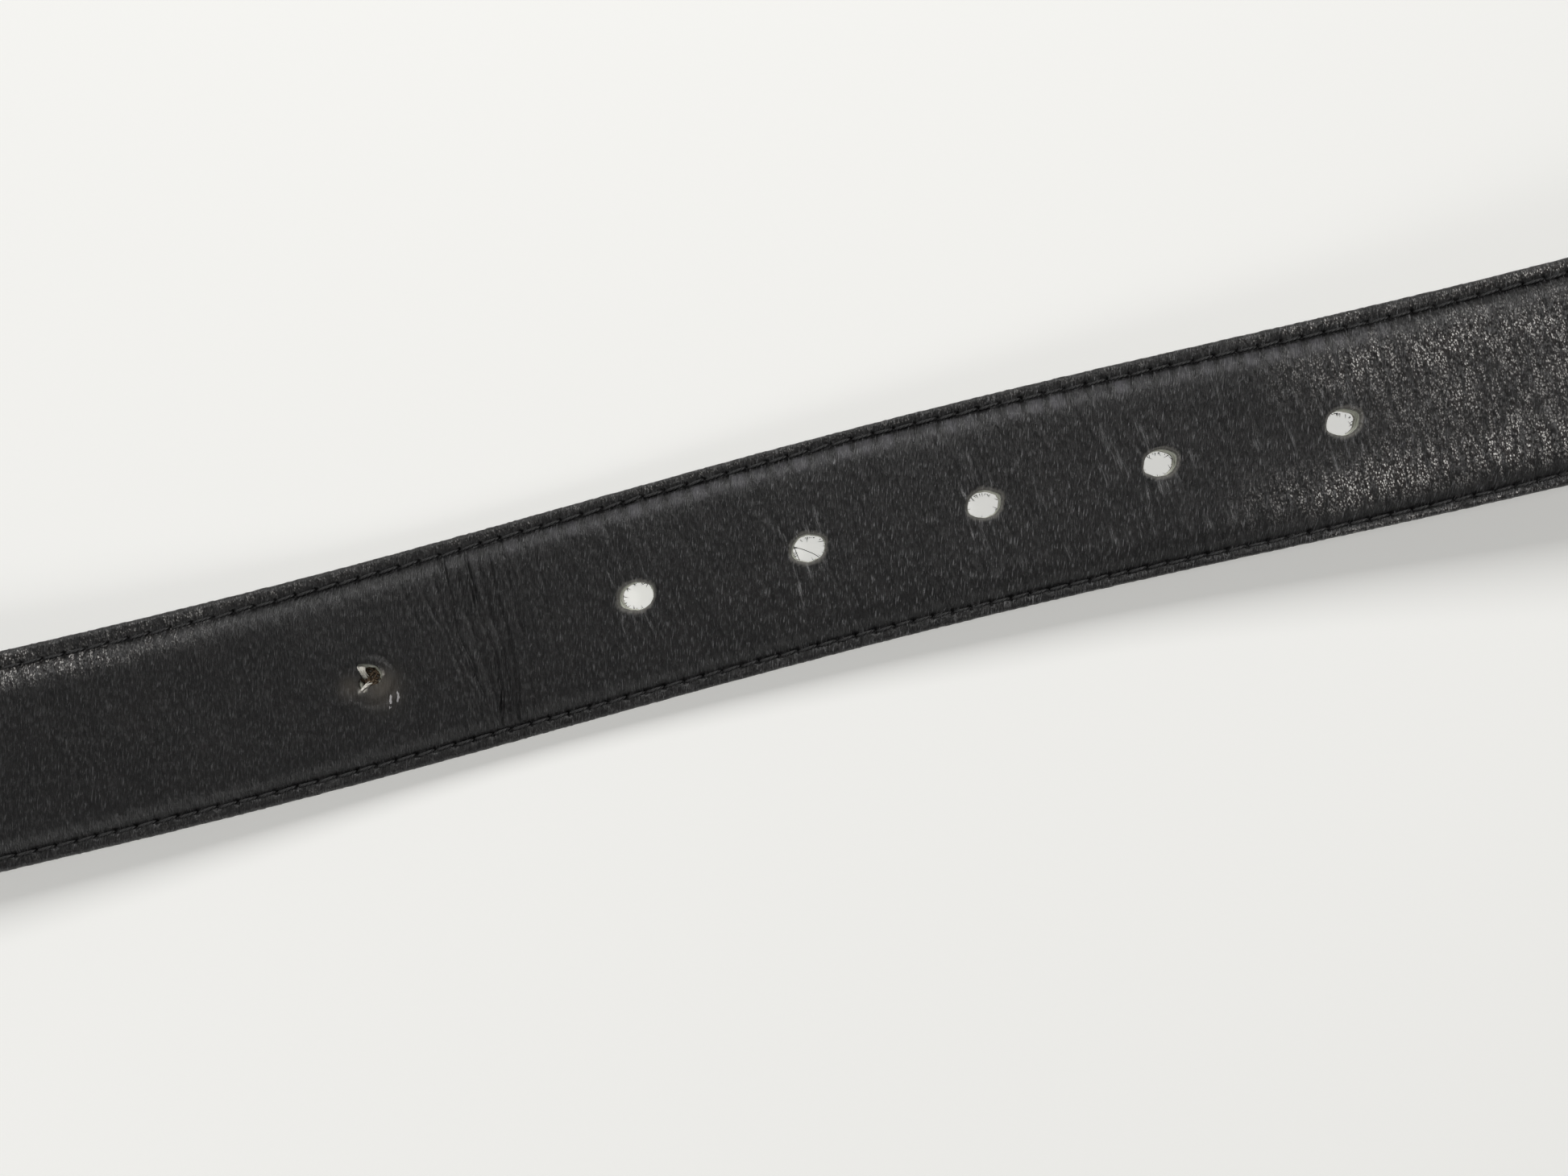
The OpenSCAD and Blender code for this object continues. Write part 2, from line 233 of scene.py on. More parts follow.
def slab(name, outer, inner, keep, material, uv, normals=None, fray=0.0, **fields):
    """A closed layer between two lattices of points in metres, with walls at its edges and in its holes."""
    n, m = keep.shape
    count = (n + 1) * (m + 1)
    ids = np.arange(count).reshape(n + 1, m + 1)
    quad = np.stack([ids[:-1, :-1], ids[1:, :-1], ids[1:, 1:], ids[:-1, 1:]], -1)
    pad = np.pad(keep, 1)
    sides = [(0, 1, pad[1:-1, :-2]), (1, 2, pad[2:, 1:-1]), (2, 3, pad[1:-1, 2:]), (3, 0, pad[:-2, 1:-1])]
    edges = np.concatenate([np.stack([quad[..., a], quad[..., b]], -1)[keep & ~other]
                            for a, b, other in sides])
    top = quad[keep]
    a, b = outer.reshape(-1, 3), inner.reshape(-1, 3)
    ring_ids = np.unique(edges)
    where = np.zeros(count, int)
    where[ring_ids] = np.arange(len(ring_ids))
    points, faces, before = [a, b], [top, top[:, ::-1] + count], edges
    rng = np.random.default_rng(len(name) * 31 + len(ring_ids))
    depths = (0.35, 0.7)
    for i, down in enumerate(depths):
        side = math.sin(down * math.pi / 2)
        p = a[ring_ids] * [1 - side, 1 - side, 1 - down] + b[ring_ids] * [side, side, down]
        points.append(p + rng.normal(0, fray * MM, p.shape) * [1, 1, 0.3])
        now = where[edges] + 2 * count + i * len(ring_ids)
        faces.append(np.stack([before[:, 1], before[:, 0], now[:, 0], now[:, 1]], -1))
        before = now
    last = edges + count
    faces.append(np.stack([before[:, 1], before[:, 0], last[:, 0], last[:, 1]], -1))
    used, back = np.unique(np.concatenate(faces), return_inverse=True)

    def spread(values, hidden=1):
        """A lattice's values for all points. hidden is 0 where only the outer side has them."""
        flat = values.reshape(count, -1)
        return np.concatenate([flat, flat * hidden] + [flat[ring_ids] * hidden] * len(depths))[used]

    normals = None if normals is None else spread(normals, 0)
    fields = {key: spread(values)[:, 0] for key, values in fields.items()}
    points = np.concatenate(points)[used]
    return add_mesh(name, points, back.reshape(-1, 4).tolist(), material, spread(uv), normals, **fields)


def run_of(points):
    return np.append(0, np.cumsum(np.linalg.norm(np.diff(points, axis=0), axis=1)))


def sweep(name, path, side, up, profile, material, closed=False):
    """A profile of (side, up) offsets in mm, or one for each point, carried along a path in mm."""
    path, side, up, profile = (np.asarray(v, float) for v in (path, side, up, profile))
    side, up = np.broadcast_to(side, path.shape), np.broadcast_to(up, path.shape)
    profile = np.broadcast_to(profile, (len(path),) + profile.shape[-2:])
    ring = path[:, None] + profile[..., :1] * side[:, None] + profile[..., 1:] * up[:, None]
    ids = np.arange(ring.shape[0] * ring.shape[1]).reshape(ring.shape[:2])
    beside = np.roll(ids, -1, 1)
    faces = np.stack([ids, beside, np.roll(beside, -1, 0), np.roll(ids, -1, 0)], -1)
    if not closed:
        faces = faces[:-1]
    faces = faces.reshape(-1, 4).tolist()
    if not closed:
        faces += [ids[0][::-1].tolist(), ids[-1].tolist()]
    uv = np.stack(np.broadcast_arrays(run_of(path)[:, None], run_of(profile[0])[None]), -1).reshape(-1, 2)
    obj = add_mesh(name, ring.reshape(-1, 3) * MM, faces, material, uv * MM)
    tidy_normals(obj)
    return obj


def tidy_normals(obj, crisp=40):
    """Turns the faces outward and keeps edges sharper than crisp degrees sharp."""
    bpy.context.view_layer.objects.active = obj
    obj.select_set(True)
    bpy.ops.object.mode_set(mode="EDIT")
    bpy.ops.mesh.select_all(action="SELECT")
    bpy.ops.mesh.normals_make_consistent(inside=False)
    bpy.ops.object.mode_set(mode="OBJECT")
    obj.data.set_sharp_from_angle(angle=math.radians(crisp))
    obj.select_set(False)


def join(name, parts):
    """Joins mesh objects into one, with the first one's material."""
    bpy.ops.object.select_all(action="DESELECT")
    for part in parts:
        part.select_set(True)
    bpy.context.view_layer.objects.active = parts[0]
    bpy.ops.object.join()
    parts[0].name = name
    parts[0].select_set(False)
    return parts[0]


def rounded_box(half_a, half_b, r, steps=4, crown=0.0):
    """A rounded rectangle's outline, with its upper side raised in the middle by crown."""
    pts = []
    for ca, cb, start in ((1, 1, 0), (-1, 1, 90), (-1, -1, 180), (1, -1, 270)):
        for i in range(steps + 1):
            a = math.radians(start + 90 * i / steps)
            pts.append([ca * (half_a - r) + r * math.cos(a), cb * (half_b - r) + r * math.sin(a)])
        if start == 0 and crown:
            pts += [[f * (half_a - r), half_b + crown * (1 - f * f)] for f in np.linspace(0.85, -0.85, 11)]
    return np.array(pts)


# ---------- materials ----------

# The leather's point fields hold wear and dirt, and also painted sheen, painted gleams and painted glints
WEAR_AND_PAINTED_LIGHT = ("sheen", "scuff", "dust", "raw", "painted_gleam", "painted_glint")      # point fields of the leather


def new_material(name):
    material = bpy.data.materials.new(name)
    material.use_nodes = True
    return material, material.node_tree, material.node_tree.nodes["Principled BSDF"]


def is_socket(value):
    return isinstance(value, bpy.types.NodeSocket)


def feed(node, **inputs):
    """Gives a node's inputs a value or another node's output each. I6 is the input with index 6."""
    for key, value in inputs.items():
        socket = node.inputs[int(key[1:]) if key[1:].isdigit() else key.replace("_", " ")]
        if is_socket(value):
            node.id_data.links.new(value, socket)
        else:
            socket.default_value = value
    return node


def add(kind, tree=None, **given):
    """A node in the tree, or in the tree of the outputs given. Names with a capital are inputs."""
    tree = tree or next(v.id_data for v in given.values() if is_socket(v))
    node = tree.nodes.new(kind)
    for key, value in given.items():
        if key[0].islower():
            setattr(node, key, value)
    return feed(node, **{key: value for key, value in given.items() if key[0].isupper()})


def calc(operation, a, b, clamp=False):
    return add("ShaderNodeMath", operation=operation, use_clamp=clamp, I0=a, I1=b).outputs[0]


def times(a, b, clamp=False):
    return calc("MULTIPLY", a, b, clamp)


def mixed(factor, a, b):
    """Colour a at factor 0 and b at factor 1."""
    a, b = (v if is_socket(v) else (*v, 1) for v in (a, b))
    return add("ShaderNodeMix", data_type="RGBA", I0=factor, I6=a, I7=b).outputs[2]


def remap(value, lo, hi, out_lo=0.0, out_hi=1.0):
    return add("ShaderNodeMapRange", I0=value, I1=lo, I2=hi, I3=out_lo, I4=out_hi).outputs[0]


def texture(vector, scale, detail=2.0, stretch=(1, 1, 1), turn=0.0, distortion=0.0):
    """Noise with features about one over scale metres across, narrowed by stretch and then turned."""
    mapped = add("ShaderNodeMapping", vector_type="TEXTURE", Vector=vector, Scale=[1 / v for v in stretch],
                 Rotation=(0, 0, turn))
    node = add("ShaderNodeTexNoise", Vector=mapped.outputs[0], Scale=scale, Detail=detail,
               Distortion=distortion)
    return node.outputs["Fac"]


def cells(vector, scale, stretch, feature):
    mapped = add("ShaderNodeMapping", Vector=vector, Scale=stretch)
    node = add("ShaderNodeTexVoronoi", feature=feature, Vector=mapped.outputs[0], Scale=scale)
    return node.outputs["Distance"]


def bumps(shader, *layers):
    """Chains bump nodes, each (height, strength, distance in metres), into the shader's normal."""
    normal = {}
    for height, strength, distance in layers:
        node = add("ShaderNodeBump", Height=height, Strength=strength, Distance=distance, **normal)
        normal = {"Normal": node.outputs[0]}
    feed(shader, **normal)


def field(tree, name):
    return add("ShaderNodeAttribute", tree, attribute_type="GEOMETRY", attribute_name=name).outputs["Fac"]


def belt_uv(tree):
    return add("ShaderNodeUVMap", tree, uv_map="belt").outputs[0]


def own_place(tree):
    return add("ShaderNodeTexCoord", tree).outputs["Object"]


def leather_material():
    """Black calf with a stroked, slightly wrinkled grain, scuffed, dusty and glossy in places, with painted
    highlights and painted sparkle.
    """
    material, tree, shader = new_material("black_calf")
    uv = belt_uv(tree)
    sheen, scuff, dust, raw, painted_gleam, painted_glint = (field(tree, name) for name in WEAR_AND_PAINTED_LIGHT)
    warp = texture(uv, 160, 2)
    strokes = texture(uv, 1350, 3.5, stretch=(4.4, 0.6, 1), turn=-0.3, distortion=0.45)
    mottle = texture(uv, 1500, 3, stretch=(1.5, 0.75, 1), turn=-0.2, distortion=0.8)
    fine = texture(uv, 5200, 2, stretch=(1.5, 0.8, 1))
    wrinkle = texture(uv, 420, 3, stretch=(3.0, 0.6, 1), turn=0.06, distortion=0.6)
    hairline = texture(uv, 900, 2, stretch=(5.5, 0.45, 1), turn=0.1, distortion=0.3)
    streak = texture(uv, 300, 3, stretch=(2.2, 0.4, 1), turn=0.12, distortion=0.6)
    pebble = cells(uv, 1500, (1.7, 0.95, 1), "SMOOTH_F1")
    spark = cells(uv, 3300, (1.35, 0.75, 1), "F1")
    # the new leather: a black ground, painted glints on the grain's strokes, and painted highlights on the
    # lips of the cracks
    painted_glint_strength = remap(add("ShaderNodeSeparateXYZ", Vector=uv).outputs[0], 0.878, 0.925, 0.5, 1.0)
    painted_grain_glints = times(times(remap(strokes, 0.57, 0.68), remap(fine, 0.28, 0.48)), painted_glint_strength)
    lit = times(times(calc("POWER", painted_glint, 1.4), remap(hairline, 0.47, 0.6)), remap(fine, 0.3, 0.5))
    tone = mixed(remap(warp, 0.35, 0.7), (0.0025, 0.0025, 0.0027), (0.006, 0.0055, 0.0056))
    tone = mixed(remap(mottle, 0.5, 0.66, 0.0, 0.85), tone, (0.029, 0.0288, 0.0292))
    tone = mixed(remap(streak, 0.56, 0.4, 0.0, 0.6), tone, (0.003, 0.003, 0.0033))
    tone = mixed(painted_grain_glints, tone, (0.125, 0.125, 0.129))
    tone = mixed(lit, tone, (0.34, 0.34, 0.345))
    # wear and painted light: a glossy patch with painted sheen and painted sparkle, painted highlights
    # between stitches, dust, flaked finish and cut or torn edges
    gloss_and_painted_sheen_patch = times(sheen, remap(wrinkle, 0.42, 0.58, 0.12, 1.25), True)
    painted_sparkle = times(remap(spark, 0.5, 0.25), remap(fine, 0.38, 0.56))
    flake = calc("GREATER_THAN", times(scuff, remap(strokes, 0.3, 0.7, 0.6, 1.25)), 0.5)
    # painted sheen and painted sparkle on the glossy patch
    tone = mixed(times(gloss_and_painted_sheen_patch, 0.45), tone, (0.05, 0.042, 0.04))
    tone = mixed(times(gloss_and_painted_sheen_patch, painted_sparkle, True), tone, (0.9, 0.88, 0.85))
    # painted highlights on the stitch puckers
    tone = mixed(times(painted_gleam, remap(wrinkle, 0.4, 0.6, 0.5, 1.0)), tone, (0.068, 0.066, 0.074))
    tone = mixed(times(dust, remap(warp, 0.2, 0.7, 0.5, 1.0)), tone, (0.062, 0.054, 0.044))
    tone = mixed(flake, tone, (0.36, 0.35, 0.36))
    tone = mixed(raw, tone, mixed(texture(uv, 2600, 2), (0.42, 0.39, 0.33), (0.86, 0.84, 0.78)))
    rough = calc("SUBTRACT", remap(fine, 0.3, 0.7, 0.32, 0.47), times(gloss_and_painted_sheen_patch, 0.12))
    rough = calc("ADD", rough, times(calc("MAXIMUM", raw, dust), 0.25), True)
    feed(shader, Base_Color=tone, Roughness=rough, Specular_IOR_Level=0.5)
    grain = times(pebble, calc("ADD", sheen, 0.12))
    bumps(shader, (wrinkle, 0.7, 0.0002), (strokes, 1.0, 0.00022), (grain, 0.9, 0.0004), (fine, 0.6, 0.00006))
    return material


def split_material():
    """The lining's dark split leather, with a short nap."""
    material, tree, shader = new_material("split_lining")
    uv = belt_uv(tree)
    broad, nap = texture(uv, 55, 3), texture(uv, 1900, 3, stretch=(1, 1.6, 1))
    fibre = texture(uv, 700, 4, distortion=1.5)
    tone = mixed(remap(broad, 0.3, 0.7), (0.017, 0.0135, 0.0125), (0.034, 0.027, 0.024))
    tone = mixed(remap(nap, 0.5, 0.75, 0.0, 0.45), tone, (0.085, 0.068, 0.06))
    tone = mixed(times(field(tree, "raw"), remap(fibre, 0.35, 0.6, 0.35, 1.0)), tone, (0.6, 0.58, 0.5))
    feed(shader, Base_Color=tone, Roughness=remap(nap, 0.3, 0.7, 0.72, 0.92), Sheen_Weight=0.12,
         Sheen_Roughness=0.5)
    bumps(shader, (fibre, 0.5, 0.00015), (nap, 0.6, 0.00006))
    return material


def fibre_material(name, dark, light, layers, painted_glow=0.0, painted=False):
    """Cut fibre in thin layers, as inside a punched hole. Its emission is painted light, standing for light
    let through.
    A painted layer is black except where its raw field is 1."""
    material, tree, shader = new_material(name)
    position = own_place(tree)
    band = texture(position, layers, 3, stretch=(0.25, 0.25, 1.6), distortion=0.6)
    speck = texture(position, 3200, 2)
    tone = mixed(remap(band, 0.35, 0.65), dark, light)
    tone = mixed(remap(speck, 0.62, 0.75, 0, 0.55), tone, (dark[0] * 0.3, dark[1] * 0.28, dark[2] * 0.22))
    rough = remap(speck, 0.3, 0.7, 0.8, 0.95)
    if painted:
        bare = remap(field(tree, "raw"), 0.1, 0.5)
        paint = mixed(remap(band, 0.3, 0.7), (0.006, 0.006, 0.0062), (0.014, 0.0135, 0.0135))
        tone = mixed(bare, paint, tone)
        rough = calc("SUBTRACT", rough, calc("SUBTRACT", 0.35, times(bare, 0.35)))
    feed(shader, Base_Color=tone, Roughness=rough, Emission_Color=tone, Emission_Strength=painted_glow)
    bumps(shader, (band, 0.6, 0.0002), (speck, 0.7, 0.00009))
    return material


def thread_material(name, light):
    """Black waxed thread, twisted from plies."""
    material, tree, shader = new_material(name)
    uv = belt_uv(tree)
    mapped = add("ShaderNodeMapping", Vector=uv, Scale=(1, 1.3, 1), Rotation=(0, 0, 0.75))
    ply = add("ShaderNodeTexWave", Vector=mapped.outputs[0], Scale=700, Distortion=1.0).outputs["Fac"]
    fuzz = texture(uv, 6000, 2)
    dark, pale = 0.012 * light, 0.06 * light
    tone = mixed(times(ply, fuzz), (dark, dark, dark), (pale, pale, pale * 1.05))
    feed(shader, Base_Color=tone, Roughness=remap(fuzz, 0.3, 0.7, 0.5, 0.75))
    bumps(shader, (ply, 0.8, 0.00012), (fuzz, 0.4, 0.00003))
    return material


def metal_material(name, dark, light, rough):
    """Brushed and lightly scratched metal."""
    material, tree, shader = new_material(name)
    position = own_place(tree)
    brush = texture(position, 900, 3, stretch=(0.12, 1.6, 1.6))
    cloud = texture(position, 90, 3)
    scratch = texture(position, 2400, 1, stretch=(0.05, 1, 1), turn=0.5)
    feed(shader, Base_Color=mixed(remap(cloud, 0.3, 0.7), dark, light), Metallic=1.0,
         Roughness=remap(brush, 0.3, 0.7, rough - 0.07, rough + 0.1))
    bumps(shader, (brush, 0.25, 0.00002), (remap(scratch, 0.66, 0.7), 0.12, 0.00002))
    return material


calf = leather_material()
split = split_material()
padding_fibre = fibre_material("padding_fibre", (0.3, 0.31, 0.25), (0.62, 0.63, 0.56), 900, 0.04)
board_fibre = fibre_material("board_fibre", (0.5, 0.51, 0.45), (0.78, 0.78, 0.72), 1500, 0.06, painted=True)
torn_fibre = fibre_material("torn_fibre", (0.62, 0.6, 0.54), (0.92, 0.91, 0.86), 1200)
pit_fibre = fibre_material("pit_fibre", (0.03, 0.022, 0.013), (0.13, 0.09, 0.055), 700)
waxed = thread_material("waxed_thread", 1.0)
stray = thread_material("stray_fibre", 0.9)
nickel = metal_material("nickel_silver", (0.5, 0.49, 0.46), (0.66, 0.64, 0.6), 0.3)
steel = metal_material("steel", (0.42, 0.42, 0.43), (0.58, 0.58, 0.59), 0.34)

# ---------- the strap's outline and stitch lines ----------

ARC_R, NOSE_R = 30.0, 6.0
NOSE_BACK = math.sqrt((ARC_R - NOSE_R) ** 2 - (ARC_R - HALF_W) ** 2)
ARC_X = TIP - NOSE_BACK - NOSE_R
NOSE_X = ARC_X + NOSE_BACK
TANGENT_X = ARC_X + NOSE_BACK * ARC_R / (ARC_R - NOSE_R)


def half_width(s):
    arc = np.sqrt(np.maximum(ARC_R ** 2 - np.maximum(s - ARC_X, 0) ** 2, 0)) - (ARC_R - HALF_W)
    nose = np.sqrt(np.maximum(NOSE_R ** 2 - (s - NOSE_X) ** 2, 0))
    return np.where(s < TANGENT_X, arc, nose)


def inset(s, side):
    """How far in from the edge the stitch line runs: it wanders, as hand-guided machine stitching does."""
    if side > 0:
        return np.interp(s, [780, 800, 835, 900, 935, 977, 1000, 1030, 1050],
                         [NOSE_IN, 2.4, 2.35, 1.75, 1.5, 1.9, 2.2, 2.1, NOSE_IN])
    return np.interp(s, [780, 800, 850, 930, 985, 1020, 1050], [NOSE_IN, 1.9, 1.85, 1.8, 1.4, 1.5, NOSE_IN])


def across(s, c):
    """Where column c of the lattice lies at s: columns near the edge keep their distance from it."""
    w = half_width(s)
    border = np.minimum(4, 0.75 * w)
    edge = w - (HALF_W - abs(c)) * border / 4
    inner = abs(c) * (w - border) / (HALF_W - 4)
    a = np.where(abs(c) > HALF_W - 4, edge, inner)
    shift = np.where(c > 0, NOSE_IN - inset(s, 1), NOSE_IN - inset(s, -1))
    a = a + shift * np.interp(abs(c), [8, 12.4, 13.6, HALF_W], [0, 1, 1, 0]) * (w > HALF_W - 0.1)
    return np.sign(c) * a


def stitch_line(side, pitch, seed):
    """The needle holes of one row, in mm along and across, up to the middle of the nose."""
    s = np.arange(1.5, ARC_X, 0.25)
    a = np.linspace(0, math.asin(NOSE_BACK / (ARC_R - NOSE_R)), 60)[1:]
    b = np.linspace(a[-1], math.pi / 2, 40)[1:]
    t = np.concatenate([HALF_W - inset(s, side), (ARC_R - NOSE_IN) * np.cos(a) - (ARC_R - HALF_W),
                        (NOSE_R - NOSE_IN) * np.cos(b)]) * side
    s = np.concatenate([s, ARC_X + (ARC_R - NOSE_IN) * np.sin(a), NOSE_X + (NOSE_R - NOSE_IN) * np.sin(b)])
    run = run_of(np.stack([s, t], -1))
    steps = np.arange(0, run[-1], pitch)
    steps = steps + np.random.default_rng(seed).normal(0, 0.07, len(steps))
    return np.interp(steps, run, s), np.interp(steps, run, t)


rows_of_stitches = {1: stitch_line(1, 3.0, 11), -1: stitch_line(-1, 2.8, 12)}


def leg(s):
    """Top of the strap where it comes off the crossbar."""
    return 2 * WRAP_OUT - (2 * WRAP_OUT - RIM_T) * s / LEG_END


def section(s, t):
    """Height of the face over the padding: a level rim, a shoulder and a low crown."""
    a = abs(t) * HALF_W / np.maximum(half_width(s), 1)
    foot = HALF_W - np.where(t > 0, inset(s, 1), inset(s, -1)) - 0.25
    f = np.tanh(np.maximum(foot - a, 0) / 1.6) * (1 - 0.05 * (a / foot) ** 2)
    fade = 1 - ramp(s, ARC_X - 10, ARC_X + 10)
    return RIM_T + (CROWN_T - RIM_T) * f * fade


# ---------- holes ----------

compass = np.arange(0, 360, 7.5)


def punched(index):
    """A punched hole, drawn out along the strap by the prong."""
    a = np.radians(compass)
    r = 1 / np.sqrt((np.cos(a) / 2.58) ** 2 + (np.sin(a) / 2.2) ** 2)
    r = r + 0.32 * bell(compass - 16, 17) + 0.26 * bell(compass - 195, 17)
    r *= (1, 0.98, 0.965, 0.95, 0.92)[index]
    ds, dt = ((0, 0.1), (0, 0.3), (0.15, 0.25), (0, 0.25), (0.3, 0.25))[index]
    rough = np.random.default_rng(40 + index).normal(0, 0.05, len(compass))
    return Round(HOLES[index] + ds, dt, compass, r + np.convolve(rough, [0.3, 0.4, 0.3], "same"))


punch = [punched(i) for i in range(5)]
awl = Round(*AWL, [-150, -134, -110, -84, -55, -33, -3, 20, 37, 70, 100, 116, 135, 158],
            [2.0, 2.4, 1.5, 1.05, 1.35, 1.65, 2.1, 2.1, 2.0, 1.95, 2.2, 2.6, 1.6, 1.0])
prong_slot = Slot(-math.pi * WRAP_OUT - SLOT_END, SLOT_END, 2.3)


def awl_slope(angle):
    """The torn skin slopes into the hole at the right and the lower left."""
    d = np.degrees(angle)
    return 0.06 + 0.34 * bell(d - 2, 30) + 0.45 * bell(d + 128, 20)


# ---------- the face's relief ----------

# Each crease: its places along the strap at five places across it, from the -Y side, and its depth
CREASE_T = [-12, -7.5, -2, 4, 12]
CREASES = [
    (-2.9, -3.4, -4.0, -4.7, -3.9, 0.34), (-1.8, -0.8, -0.3, -1.1, -0.7, 0.42),
    (0.7, 1.5, 2.0, 2.0, 2.3, 0.34), (-5.0, -5.3, -5.6, -6.9, -8.7, 0.16),
    (-2.4, -1.9, -2.4, -2.9, -2.2, 0.16), (-0.6, 0.3, 0.9, 0.5, 0.9, 0.2),
    (2.9, 3.4, 4.1, 4.0, 4.3, 0.14), (4.9, 5.6, 5.8, 6.3, 6.2, 0.1),
    (7.4, 8.0, 8.4, 8.6, 8.9, 0.08), (-4.1, -4.4, -4.8, -5.9, -6.0, 0.14),
    (-6.8, -6.9, -7.6, -9.4, -11.0, 0.07), (10.4, 10.6, 11.0, 11.3, 11.4, 0.06)]


def crease_relief(s, t):
    out = np.zeros(s.shape)
    near = abs(s - CREASE) < 20
    x, y = s[near] - CREASE, t[near]
    for i, (*curve, depth) in enumerate(CREASES):
        d = x - np.interp(y, CREASE_T, curve) - 0.2 * noise(y / 2.6, i * 7.3, 3)
        strength = depth * ramp(abs(y), 13.4, 11.6) * (0.7 + 0.5 * noise(y / 3.1, i * 3.7, 4))
        out[near] += strength * (0.4 * bell(abs(d) - 0.6, 0.35) - 1.1 * bell(d, 0.2))
    return out


def hole_relief(s, t):
    """A soft dip and a fan of fine cracks at each punched hole, and painted light where the cracks' lips
    would catch it.
    """
    out, painted_glint = np.zeros(s.shape), np.zeros(s.shape)
    for i, x0 in enumerate(HOLES):
        rng = np.random.default_rng(70 + i)
        near = abs(s - x0) < 14
        x, y = s[near] - x0, t[near]
        r = np.hypot(x, y)
        total = 0.035 * bell(r - 3.3, 0.5) * (0.5 + 0.5 * noise(x, y, 60 + i)) - 0.05 * bell(r - 2.4, 1.8)
        for side in (1, -1):
            u = y * side
            for foot in np.linspace(-2.2, 2.2, 4) + rng.uniform(-0.4, 0.4, 4):
                lean, length = rng.uniform(-0.22, 0.0), rng.uniform(3.5, 8.5)
                d = x - foot * (1 + 0.05 * (u - 2)) - lean * side * (u - 1.5)
                d = d + 0.1 * noise(y / 1.1, foot * 9, 61)
                along = ramp(u, 1.0, 2.4) * ramp(-u, -(2 + length), -(1 + 0.4 * length))
                total += 0.11 * along * (0.5 * bell(abs(d) - 0.36, 0.2) - bell(d, 0.17))
                # painted highlight along one lip of each crack
                painted_glint[near] += along * bell(d + 0.3, 0.2) * (0.55 + 0.6 * noise(y / 0.9, foot * 5, 62))
        out[near] += total
    return out, np.clip(painted_glint, 0, 1)


def awl_relief(s, t):
    """A ring-shaped dent round the hole made by hand, deeper at its lower right."""
    x, y = s - AWL[0], t - AWL[1]
    r, a = np.hypot(x - 0.4, y + 0.3), np.degrees(np.arctan2(y, x))
    ring = 0.14 * bell(r - 2.7, 0.5) - 0.2 * bell(r - 3.5, 0.38) + 0.09 * bell(r - 4.2, 0.4)
    return ring * (0.45 + 0.55 * bell(a + 35, 75)) - 0.22 * bell(np.hypot(x + 2.9, y + 0.6), 1.2)


def relief(s, t):
    """What lifts or dents the face, in mm, apart from the stitching, and where highlights are painted on it.
    """
    from_edge = half_width(s) - abs(t)
    soft = ramp(from_edge, 0.2, 2.0)
    out = 0.09 * noise(s / 21, t / 13, 21) + 0.045 * noise(s / 6.5, t / 8, 22) * soft
    seen = ramp(s, SEEN[0] - 6, SEEN[0]) * ramp(-s, -SEEN[1] - 6, -SEEN[1])
    ribs = noise(s / 0.75 + t * 0.2 + 0.8 * noise(s / 5, t / 4, 25), t / 4.5, 23)
    out += seen * soft * (0.02 + 0.045 * ramp(s, CREASE + 4, CREASE + 22)) * ribs
    out += seen * soft * 0.026 * noise(s / 0.6, t / 1.9, 24)
    cracks, painted_glint = hole_relief(s, t)
    # painted highlights on the ribs between the second and fourth holes
    painted_glint = painted_glint + seen * 0.45 * ramp(s, HOLES[1], HOLES[3]) * ramp(ribs, 0.45, 0.85) * ramp(from_edge, 3, 5)
    return out + crease_relief(s, t) + cracks + awl_relief(s, t), painted_glint


def needle_relief(s, t):
    """The stitch channel, the needle holes, the puckers that stitches pull up, and painted highlights between
    them.
    """
    out, painted_gleam = np.zeros(s.shape), np.zeros(s.shape)
    rng = np.random.default_rng(6)
    along = s[:, s.shape[1] // 2]
    for side, stitches in rows_of_stitches.items():
        line = side * (HALF_W - inset(along, side))
        out -= 0.08 * bell((t - line[:, None]) * side, 0.42) * (along < ARC_X)[:, None]
        for x0, t0 in zip(*stitches):
            if not SEEN[0] - 4 < x0 < SEEN[1] + 4:
                continue
            i, k = np.searchsorted(along, [x0 - 1.6, x0 + 1.6])
            x, y = s[i:k] - x0, (t[i:k] - t0) * side
            dent = 0.6 * bell(x, 0.38) * bell(y, 0.36)
            pull = 0.13 * bell(x, 0.45) * ramp(-y, 0.1, 0.9) * ramp(y, -4.0, -1.6)
            rim_pull = 0.03 * bell(x, 0.5) * ramp(y, 0.2, 0.6) * ramp(-y, -1.7, -0.9)
            out[i:k] -= dent + pull + rim_pull
            # painted highlights on the puckers of the top row only, the side the light comes from
            if side > 0:
                shine = rng.uniform(0.3, 1) * np.interp(x0, [870, 905, 1003, 1010], [0.15, 1, 1, 0])
                i, k = np.searchsorted(along, [x0, x0 + 3])
                x, y = s[i:k] - x0 - 1.5, t[i:k] - t0
                painted_gleam[i:k] += shine * np.exp(-(x / 0.95) ** 4) * ramp(-y, 0.4, 0.8) * ramp(y, -3.0, -1.9)
    return out, painted_gleam


# ---------- the layers ----------

